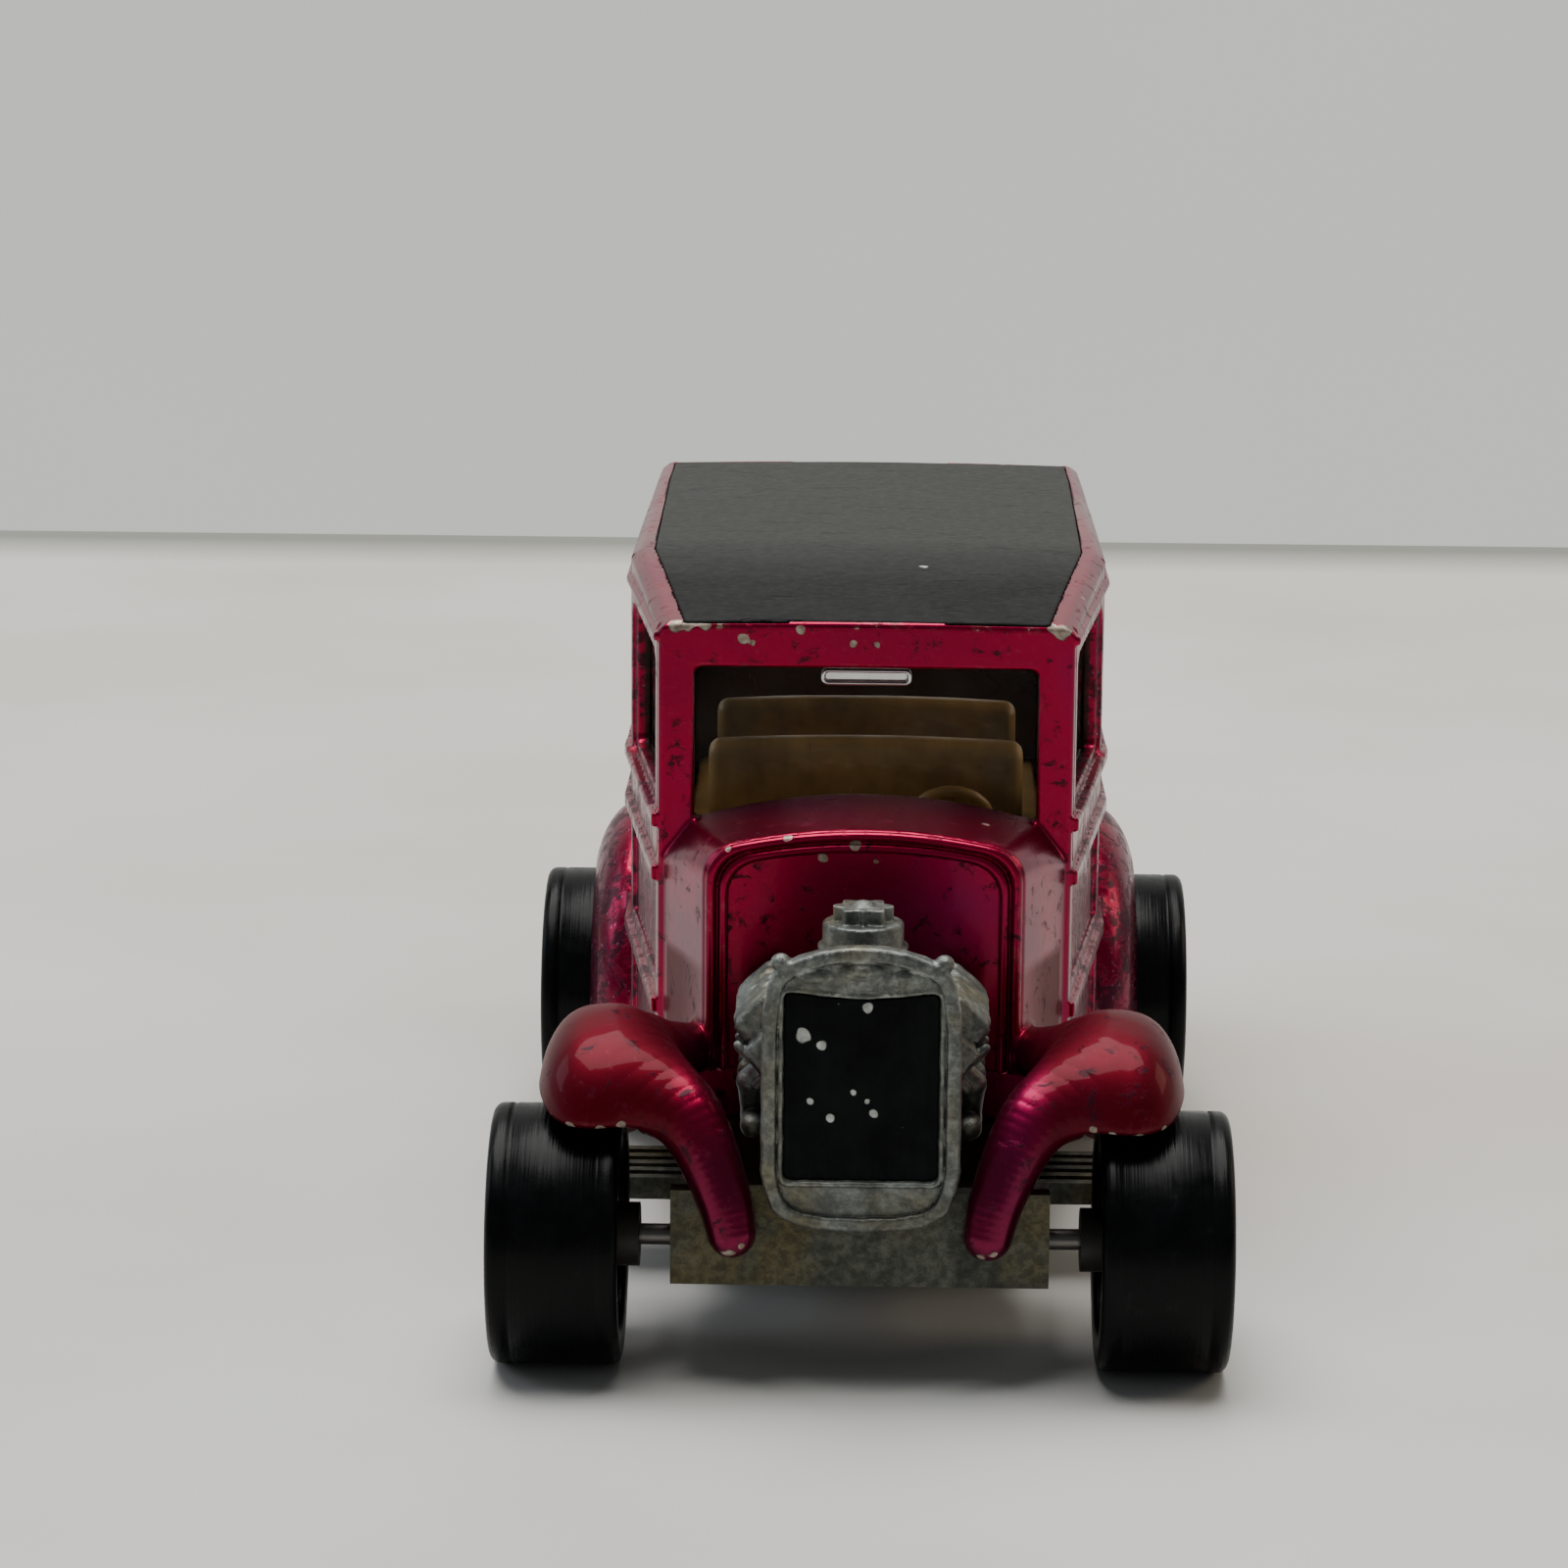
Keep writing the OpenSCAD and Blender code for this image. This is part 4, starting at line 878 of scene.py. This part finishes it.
def tyre_black():
    """Hard black plastic with fine lines from turning, and dust caught in them."""
    look = Look("tyre_black", Specular_IOR_Level=0.1)
    lines = look.noise(2.6, 2, 0.5, stretch=(3.2, 0.06, 0.06))
    scuff = look.noise(0.6, 6, 0.72, distortion=0.5)
    colour = look.ramp(scuff, (0.4, (0.0012, 0.0014, 0.0018)), (0.62, (0.002, 0.0024, 0.003)),
                       (0.78, (0.012, 0.012, 0.012)))
    look.bump(lines, 0.03, 0.8)
    look.bump(look.noise(3.0, 3, 0.6), 0.008, 0.4)
    rough = look.plus(look.ramp(scuff, (0.35, 0.2), (0.7, 0.36)), look.times(lines, 0.1))
    return look.done(Base_Color=colour, Roughness=rough)


def grille_black():
    """Flat black paint flaking off bright metal."""
    look = Look("grille_black", Specular_IOR_Level=0.06)
    fleck = look.ramp(look.noise(1.9, 4, 0.6), (0.74, 0.0), (0.77, 0.8))
    fleck = look.math("MAXIMUM", look.chipped(), fleck)
    black = look.ramp(look.noise(0.5, 4, 0.6), (0.35, (0.003, 0.0035, 0.004)),
                      (0.7, (0.007, 0.008, 0.009)))
    bare = look.ramp(look.noise(3, 3), (0.3, (0.3, 0.31, 0.3)), (0.7, (0.6, 0.62, 0.6)))
    look.bump(look.less(1.0, fleck), 0.03, 0.8)
    look.bump(look.noise(2.5, 4, 0.6), 0.03, 0.5)
    rough = look.ramp(look.noise(1.2, 3), (0.3, 0.5), (0.7, 0.7))
    return look.done(Base_Color=look.mix(fleck, black, bare), Roughness=rough,
                     Metallic=look.times(fleck, 0.7))


def clear_glazing():
    """Clear plastic, a little yellowed, with hair scratches. It reflects more at a glancing angle."""
    look = Look("clear_glazing", Roughness=0.08, Specular_IOR_Level=0.8)
    facing = look.tree.nodes.new("ShaderNodeLayerWeight")
    facing.inputs["Blend"].default_value = 0.25
    scratch = look.noise(1.2, 3, 0.5, stretch=(6, 6, 0.5), distortion=1.2)
    scratch = look.ramp(scratch, (0.72, 0.0), (0.75, 0.35))
    film = look.ramp(look.noise(0.3, 3, 0.6), (0.3, 0.02), (0.7, 0.06))
    cover = look.times(facing.outputs["Facing"], 0.5)
    cover = look.math("ADD", cover, look.math("MAXIMUM", film, scratch), clamp=True)
    colour = look.mix(scratch, (0.12, 0.11, 0.08), (0.9, 0.9, 0.88))
    look.bump(look.noise(0.25, 2), 0.03, 0.3)
    return look.done(Base_Color=colour, Alpha=cover)


LOOKS = {
    "candy_paint": candy_paint(),
    "roof_black": roof_black(),
    "clear_glazing": clear_glazing(),
    "interior_plastic": moulded("interior_plastic", (0.62, 0.37, 0.12), 0.3, 0.5, 0.03),
    "base_zinc": cast_zinc("base_zinc", (0.035, 0.037, 0.03), (0.11, 0.115, 0.095),
                           (0.12, 0.095, 0.03), 0.5),
    "engine_zinc": cast_zinc("engine_zinc", (0.1, 0.108, 0.1), (0.27, 0.29, 0.27),
                             (0.17, 0.14, 0.06), 0.55),
    "grille_black": grille_black(),
    "axle_wire": plain_metal("axle_wire", (0.2, 0.19, 0.18), 0.3),
    "tyre_black": tyre_black(),
    "hub_chrome": plain_metal("hub_chrome", (0.8, 0.8, 0.81), 0.1),
    "bush_plastic": moulded("bush_plastic", (0.02, 0.018, 0.014), 0.45),
    "rivet_metal": plain_metal("rivet_metal", (0.5, 0.49, 0.45), 0.35),
    "gear_white": moulded("gear_white", (0.75, 0.72, 0.62), 0.4, 0.1),
    "gear_red": moulded("gear_red", (0.6, 0.05, 0.03), 0.35, 0.15),
    "spring_steel": plain_metal("spring_steel", (0.3, 0.31, 0.34), 0.25, (0.6, 0.6, 4)),
    "motor_case": moulded("motor_case", (0.11, 0.12, 0.14), 0.45, 0.2),
}


def finish_as(piece, slot, body, *nodes):
    """Gives a piece its finish, hangs it on the body that it rides on and hides the CAD nodes that it
    stands for.
    """
    piece.data.materials.clear()
    piece.data.materials.append(LOOKS[slot])
    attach(piece, body)
    if nodes:
        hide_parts(*nodes)


# ---------------------------------------------------------------- pieces

# Waves across a chip's rim: turns per millimetre in x, s and z, and where each starts
RAGGED = (((1.9, 1.1, 0.7), 0.3), ((-1.2, 2.3, 1.6), 1.9), ((2.8, -1.7, 2.9), 4.0))


def chips(piece, spots):
    """Marks ragged spots (x, s, z, radius) for the material to show as bare metal."""
    co = points_mm(piece)
    ragged = sum(np.sin(co @ np.array(k) * 3.2 + start) for k, start in RAGGED) / 3
    worth = np.zeros(len(co))
    for x, s, z, r in spots:
        near = length(co[:, 0] - x, co[:, 1] - s, co[:, 2] - z)
        worth = np.maximum(worth, np.clip(1 - (near + 0.35 * r * ragged) / (2 * r), 0, 1))
    set_attribute(piece, "chip", worth)


body_axes = [grid_axis((0, 0.14), (14, 0)),
             grid_axis((-5.6, 0.11), (13.4, 0.26), (60.4, 0)),
             grid_axis((4.2, 0.12), (22, 0.16), (30.9, 0))]
body = cast("body_casting", body_field, body_axes)
chips(body, (
    # windshield header and the edges beside it
    (-8.4, 12.5, 29.5, 0.35), (-7.8, 12.5, 29.6, 0.35), (-7.1, 12.5, 29.55, 0.3),
    (-5.4, 12.45, 28.9, 0.26), (-5.0, 12.45, 28.7, 0.16), (-2.9, 12.45, 29.3, 0.2),
    (8.6, 12.5, 29.4, 0.4), (8.1, 12.5, 29.6, 0.3), (-9.2, 18, 29.5, 0.24),
    (9.6, 19, 29.6, 0.24), (-0.6, 12.45, 28.7, 0.16), (0.45, 12.45, 28.7, 0.14),
    # cowl
    (-3.3, 7.0, 21.2, 0.2), (-5.9, 7.0, 20.7, 0.14), (-5.85, 7.2, 19.6, 0.14),
    (-1.8, 7.3, 20.2, 0.22), (0.5, 7.3, 20.1, 0.12), (5.3, 10.4, 21.2, 0.2),
    (-0.35, 7.0, 20.9, 0.24), (-8.1, 11.8, 20.6, 0.3),
    # feet of the horns
    (4.9, -4.9, 6.0, 0.34), (5.6, -4.9, 6.3, 0.2), (-5.5, -4.9, 6.1, 0.34), (-4.8, -5.0, 6.5, 0.2),
    # lips of the front fenders
    (9.6, -3.3, 11.3, 0.16), (10.4, -3.4, 11.1, 0.2), (11.5, -3.4, 11.0, 0.24),
    (12.6, -3.0, 11.2, 0.2), (-9.9, -3.4, 11.2, 0.2), (-10.8, -3.4, 11.05, 0.22),
    (-12.1, -3.3, 11.1, 0.24), (-13.0, -2.6, 11.4, 0.18), (-11.9, -3.6, 12.4, 0.12),
    (8.9, -2.7, 11.6, 0.12)))
x, s, z = points_mm(body).T
across = np.abs(x)
# The horns low down are painted a darker purple as shade; the front fenders are rougher and painted a
# darker tint as shade; the cab's sides and the rear fenders get more stains and painted glints
set_attribute(body, "low", np.clip((12.4 - z) / 3, 0, 0.85) * (s < 1))
# front fenders: rougher, and painted darker as shade
satin_and_shade = np.clip((across - 6.5) / 1.5, 0, 1) * np.clip((15.5 - z) * 2, 0, 1) * (s < 12)
set_attribute(body, "satin_and_shade", satin_and_shade)
# the cab's sides and the rear fenders: more stains, and painted glints
aged_with_glints = np.clip((s - 14) / 2, 0, 1) * np.clip((29 - z) * 2, 0, 1) * np.clip(across - 8.2, 0, 1)
set_attribute(body, "aged_with_glints", aged_with_glints)
# inner: the inside of the cab, painted near black as shade
inner = (cab_side((across, s, z)) < -0.6) & (cab_roof((x, s, z)) < -0.9)
set_attribute(body, "inner", inner & (s > WINDSHIELD + 0.7) & (s < TAIL - 0.7))
finish_as(body, "candy_paint", "car", "body_shell")

cover = cast("roof_covering", cover_field,
             [grid_axis((0, 0.16), (11, 0)), grid_axis((12, 0.3), (60.2, 0)),
              grid_axis((29.2, 0.06), (30.65, 0))])
chips(cover, ((2.6, 24, 30.4, 0.24), (3.1, 24, 30.4, 0.16)))
# painted sheen: rising from 20 to 31 mm behind the front axle
set_attribute(cover, "dust_and_sheen", np.clip((points_mm(cover)[:, 1] - 20) / 11, 0, 1))
finish_as(cover, "roof_black", "car", "roof_cover")

fine = 0.085
radiator = cast("radiator", radiator_field,
                [grid_axis((0, fine), (4.5, 0)), grid_axis((-5.0, fine), (-1.6, 0)),
                 grid_axis((6.7, 0.1), (19.5, 0))], wear_reach=0.14)
finish_as(radiator, "engine_zinc", "car", "radiator_shell")


def grille_sheet_field(p):
    x, s, z = p
    d = smooth_max(rect(x, z, 0, 13.2, 3.17, 3.97, 0.3), z - 16.92 - 0.035 * x * x, 0.15)
    deep = s - RADIATOR_FRONT - 0.6
    bars = np.where(deep < 0, 0.025 * np.cos(x * 2 * math.pi / 0.58), 0)
    return smooth_max(d, np.abs(deep) - 0.12 + bars, 0.05)


grille = cast("radiator_grille_plate", grille_sheet_field,
              [grid_axis((0, 0.09), (3.5, 0)), grid_axis((-4.4, 0.07), (-3.5, 0)),
               grid_axis((8.9, 0.12), (17.6, 0))], wear_reach=0.1)
chips(grille, [(x, -4.15, z, r) for x, z, r in
               ((-2.35, 15.35, 0.3), (-1.65, 14.95, 0.2), (0.25, 16.6, 0.2), (-0.3, 13.0, 0.15),
                (-2.1, 12.6, 0.16), (-1.25, 11.9, 0.17), (0.5, 12.1, 0.18), (0.25, 12.6, 0.12))])
finish_as(grille, "grille_black", "car", "radiator_grille")

engine = cast("engine", engine_field,
              [grid_axis((0, 0.1), (6.2, 0)), grid_axis((-2.1, 0.11), (6.9, 0)),
               grid_axis((4.8, 0.11), (17.9, 0))], wear_reach=0.16)
finish_as(engine, "engine_zinc", "car", "engine_block")

cleaner = cast("air_cleaner_stack", cleaner_field,
               [grid_axis((0, 0.07), (2.3, 0)), grid_axis((-0.3, 0.07), (4.3, 0)),
                grid_axis((17.3, 0.07), (19.9, 0))], wear_reach=0.12)
finish_as(cleaner, "engine_zinc", "car", "air_cleaner")

for side, name in ((1, "left"), (-1, "right")):
    pipes = cast(name + "_header_pipes",
                 lambda p, side=side: header_field([side * p[0], p[1], p[2]]),
                 [grid_axis(*sorted(((side * 3.2, 0.09), (side * 5.6, 0.09)))),
                  grid_axis((-1.4, 0.1), (6.6, 0)), grid_axis((9.6, 0.1), (13.8, 0))],
                 mirrored=False, wear_reach=0.12)
    finish_as(pipes, "engine_zinc", "car", name + "_header")

inside = cast("interior_moulding", interior_field,
              [grid_axis((-9.4, 0.2), (9.4, 0)), grid_axis((13.7, 0.22), (58.8, 0)),
               grid_axis((9.3, 0.2), (22.9, 0))], mirrored=False)
finish_as(inside, "interior_plastic", "car", "interior_tub")

# end of the car, axle's place, tyre's radius, hub's bore and the body that its wheels ride on
WHEELS = (("front", 0.0, FRONT_R, 0.5, "front_{}_wheel"),
          ("rear", REAR_S, REAR_R, 0.51, "rear_axle_set"))
for end, axle_s, radius, bore, wheel_body in WHEELS:
    for side, name in ((1, "left"), (-1, "right")):
        node = "{}_{}_".format(end, name)
        lo, hi = box_mm(node + "tyre")
        width = hi[0] - lo[0]
        rides_on = wheel_body.format(name)
        tyre = lathe(node + "tyre_turned", tyre_profile(radius, width), axle_s, radius, side, TYRE_X)
        finish_as(tyre, "tyre_black", rides_on, node + "tyre")
        half = radius - 1.2
        outward = [(side * (TYRE_X + 2.8), 0.09), (side * (TYRE_X + width), 0.09)]
        hub = cast(node + "five_spoke_hub",
                   lambda p, side=side, s=axle_s, r=radius, w=width, b=bore:
                   hub_field((side * p[0] - TYRE_X, p[1] - s, p[2] - r), r, w, b),
                   [grid_axis(*sorted(outward)), grid_axis((axle_s - half, 0.1), (axle_s + half, 0)),
                    grid_axis((radius - half, 0.1), (radius + half, 0))], mirrored=False, wear_reach=0.12)
        finish_as(hub, "hub_chrome", rides_on, node + "hub")


# mirror moulded under the header: a bar with a bright face

def bar_inside(x, z):
    return rect(x, z, 0, WINDOW_TOP - 0.62, 1.84, 0.2, 0.15)


def mirror_field(p):
    x, s, z = p
    bar = rect(x, z, 0, WINDOW_TOP - 0.62, 2.0, 0.38, 0.3)
    bar = smooth_max(bar, np.abs(s - WINDSHIELD - 1.55) - 0.3, 0.12)
    return cut(bar, np.maximum(bar_inside(x, z), s - WINDSHIELD - 1.6), 0.06)


mirror = cast("rear_view_mirror", mirror_field,
              [grid_axis((0, 0.08), (2.2, 0)), grid_axis((13.5, 0.08), (14.6, 0)),
               grid_axis((26.4, 0.08), (27.6, 0))], wear_reach=0.1)
finish_as(mirror, "hub_chrome", "car")

# the remaining nodes keep their shape: softened edges and a finish of their own
SOFTENED = {"window_glazing": 0.08, "chassis_base": 0.14, "chassis_rivets": 0.1,
            "front_axle": 0.06, "rear_axle": 0.06, "motor_case_left": 0.15,
            "motor_case_right": 0.15, "axle_pinion": 0.02, "transfer_gear": 0.02,
            "transfer_shaft": 0.04, "spring_drum": 0.02, "spring_arbor": 0.04,
            "mainspring": 0.02, "front_left_bush": 0.06, "front_right_bush": 0.06,
            "rear_left_bush": 0.06, "rear_right_bush": 0.06}
for node, soft in SOFTENED.items():
    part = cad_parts[node]
    slot = part.data.materials[0].name.split(".")[0]
    part.data.materials[0] = LOOKS[slot]
    rounding = part.modifiers.new("soft_edges", "BEVEL")
    rounding.width = soft * MM
    rounding.segments = 2
    rounding.limit_method = "ANGLE"
    rounding.angle_limit = math.radians(35)

# ---------------------------------------------------------------- stage, light and camera

# The table's far edge, the radius of its round and how far in front of it the shade starts, metres
TABLE_END, EDGE_R, SHADE = 0.202, 0.004, 0.016
WALL_Y, HALF_WIDTH = 1.5, 1.6


def stage_sheet():
    """Table top with a rounded far edge, and a pale wall a long way behind and below it."""
    bend = np.linspace(0, math.pi / 2, 8)
    flat_end = TABLE_END - EDGE_R
    profile = [(-0.9, 0.0, 0), (flat_end - SHADE, 0.0, 0), (flat_end - 0.003, 0.0, 1)]
    profile += [(flat_end + EDGE_R * math.sin(a), EDGE_R * (math.cos(a) - 1), 1) for a in bend]
    profile += [(TABLE_END, -0.05, 1), (WALL_Y, -0.9, 0), (WALL_Y, 1.6, 0)]
    mesh = bmesh.new()
    rows = [[mesh.verts.new((x, y, z)) for y, z, _ in profile] for x in (-HALF_WIDTH, HALF_WIDTH)]
    for i in range(len(profile) - 1):
        if i != len(profile) - 3:
            face = mesh.faces.new((rows[0][i], rows[1][i], rows[1][i + 1], rows[0][i + 1]))
            face.material_index = int(i == len(profile) - 2)
    data = bpy.data.meshes.new("table_and_wall")
    mesh.to_mesh(data)
    mesh.free()
    sheet = bpy.data.objects.new("table_and_wall", data)
    bpy.context.scene.collection.objects.link(sheet)
    # how dark the painted shadow is at each point of the profile
    set_attribute(sheet, "edge_shadow", [shade for _, _, shade in profile] * 2)
    return sheet


def table_look():
    look = Look("table_top", Specular_IOR_Level=0.25)
    cloud = look.noise(0.012, 4, 0.55)
    colour = look.ramp(cloud, (0.35, (0.56, 0.53, 0.48)), (0.65, (0.64, 0.64, 0.62)))
    # painted shadow: darker along the table's far edge and down its round
    colour = look.mix(look.times(look.attribute("edge_shadow"), 0.8), colour, (0.12, 0.13, 0.11))
    look.bump(look.noise(0.6, 4, 0.6), 0.02, 0.25)
    return look.done(Base_Color=colour, Roughness=look.ramp(cloud, (0.3, 0.5), (0.7, 0.62)))


def wall_look():
    look = Look("pale_wall", Roughness=0.9, Specular_IOR_Level=0.1, Emission_Strength=0.66,
                Emission_Color=(0.93, 0.95, 0.88, 1))
    colour = look.ramp(look.noise(0.004, 3), (0.3, (0.4, 0.4, 0.38)), (0.7, (0.46, 0.46, 0.44)))
    return look.done(Base_Color=colour)


table = stage_sheet()
table.data.materials.append(table_look())
table.data.materials.append(wall_look())


def area_light(name, place, target, size, power, colour):
    data = bpy.data.lights.new(name, "AREA")
    data.shape = "SQUARE"
    data.size = size
    data.energy, data.color = power, colour
    lamp = bpy.data.objects.new(name, data)
    bpy.context.scene.collection.objects.link(lamp)
    lamp.location = place
    lamp.rotation_euler = (Vector(target) - Vector(place)).to_track_quat("-Z", "Y").to_euler()
    return lamp


area_light("ceiling", (-0.06, 0.1, 0.7), (0, 0.02, 0), 0.6, 8.4, (1.0, 0.985, 0.96))
area_light("warm_right", (0.42, 0.1, 0.22), (0, 0, 0.01), 0.2, 0.4, (1.0, 0.8, 0.6))
area_light("cool_left", (-0.45, 0.1, 0.22), (0, 0, 0.015), 0.24, 0.45, (0.8, 0.88, 1.0))

world = bpy.data.worlds.new("room")
world.use_nodes = True
world.node_tree.nodes["Background"].inputs["Color"].default_value = (0.62, 0.66, 0.68, 1)
world.node_tree.nodes["Background"].inputs["Strength"].default_value = 0.24
bpy.context.scene.world = world

# Fitted to the view: place in millimetres from the front axle, angles, and focal length in the
# pixels of a 1600-pixel-wide frame
CAMERA_AT = (0.221, -186.98, 64.56)
FOCAL, FRAME_WIDTH = 4708, 1600
PITCH, YAW, ROLL = (math.radians(a) for a in (11.936, -1.094, 0.452))
forward = Vector((math.sin(YAW) * math.cos(PITCH), math.cos(YAW) * math.cos(PITCH), -math.sin(PITCH)))
right = Vector((math.cos(YAW), -math.sin(YAW), 0))
up = right.cross(forward)
turned_right = math.cos(ROLL) * right + math.sin(ROLL) * up
turned_up = math.cos(ROLL) * up - math.sin(ROLL) * right
lens = bpy.data.cameras.new("camera")
lens.sensor_width = 36
lens.lens = FOCAL / FRAME_WIDTH * lens.sensor_width
lens.clip_start = 0.01
camera = bpy.data.objects.new("camera", lens)
bpy.context.scene.collection.objects.link(camera)
turn = Matrix((turned_right, turned_up, -forward)).transposed().to_4x4()
camera.matrix_world = Matrix.Translation((Vector(CAMERA_AT) + Vector((0, AXLE_Y, 0))) * MM) @ turn
bpy.context.scene.camera = camera
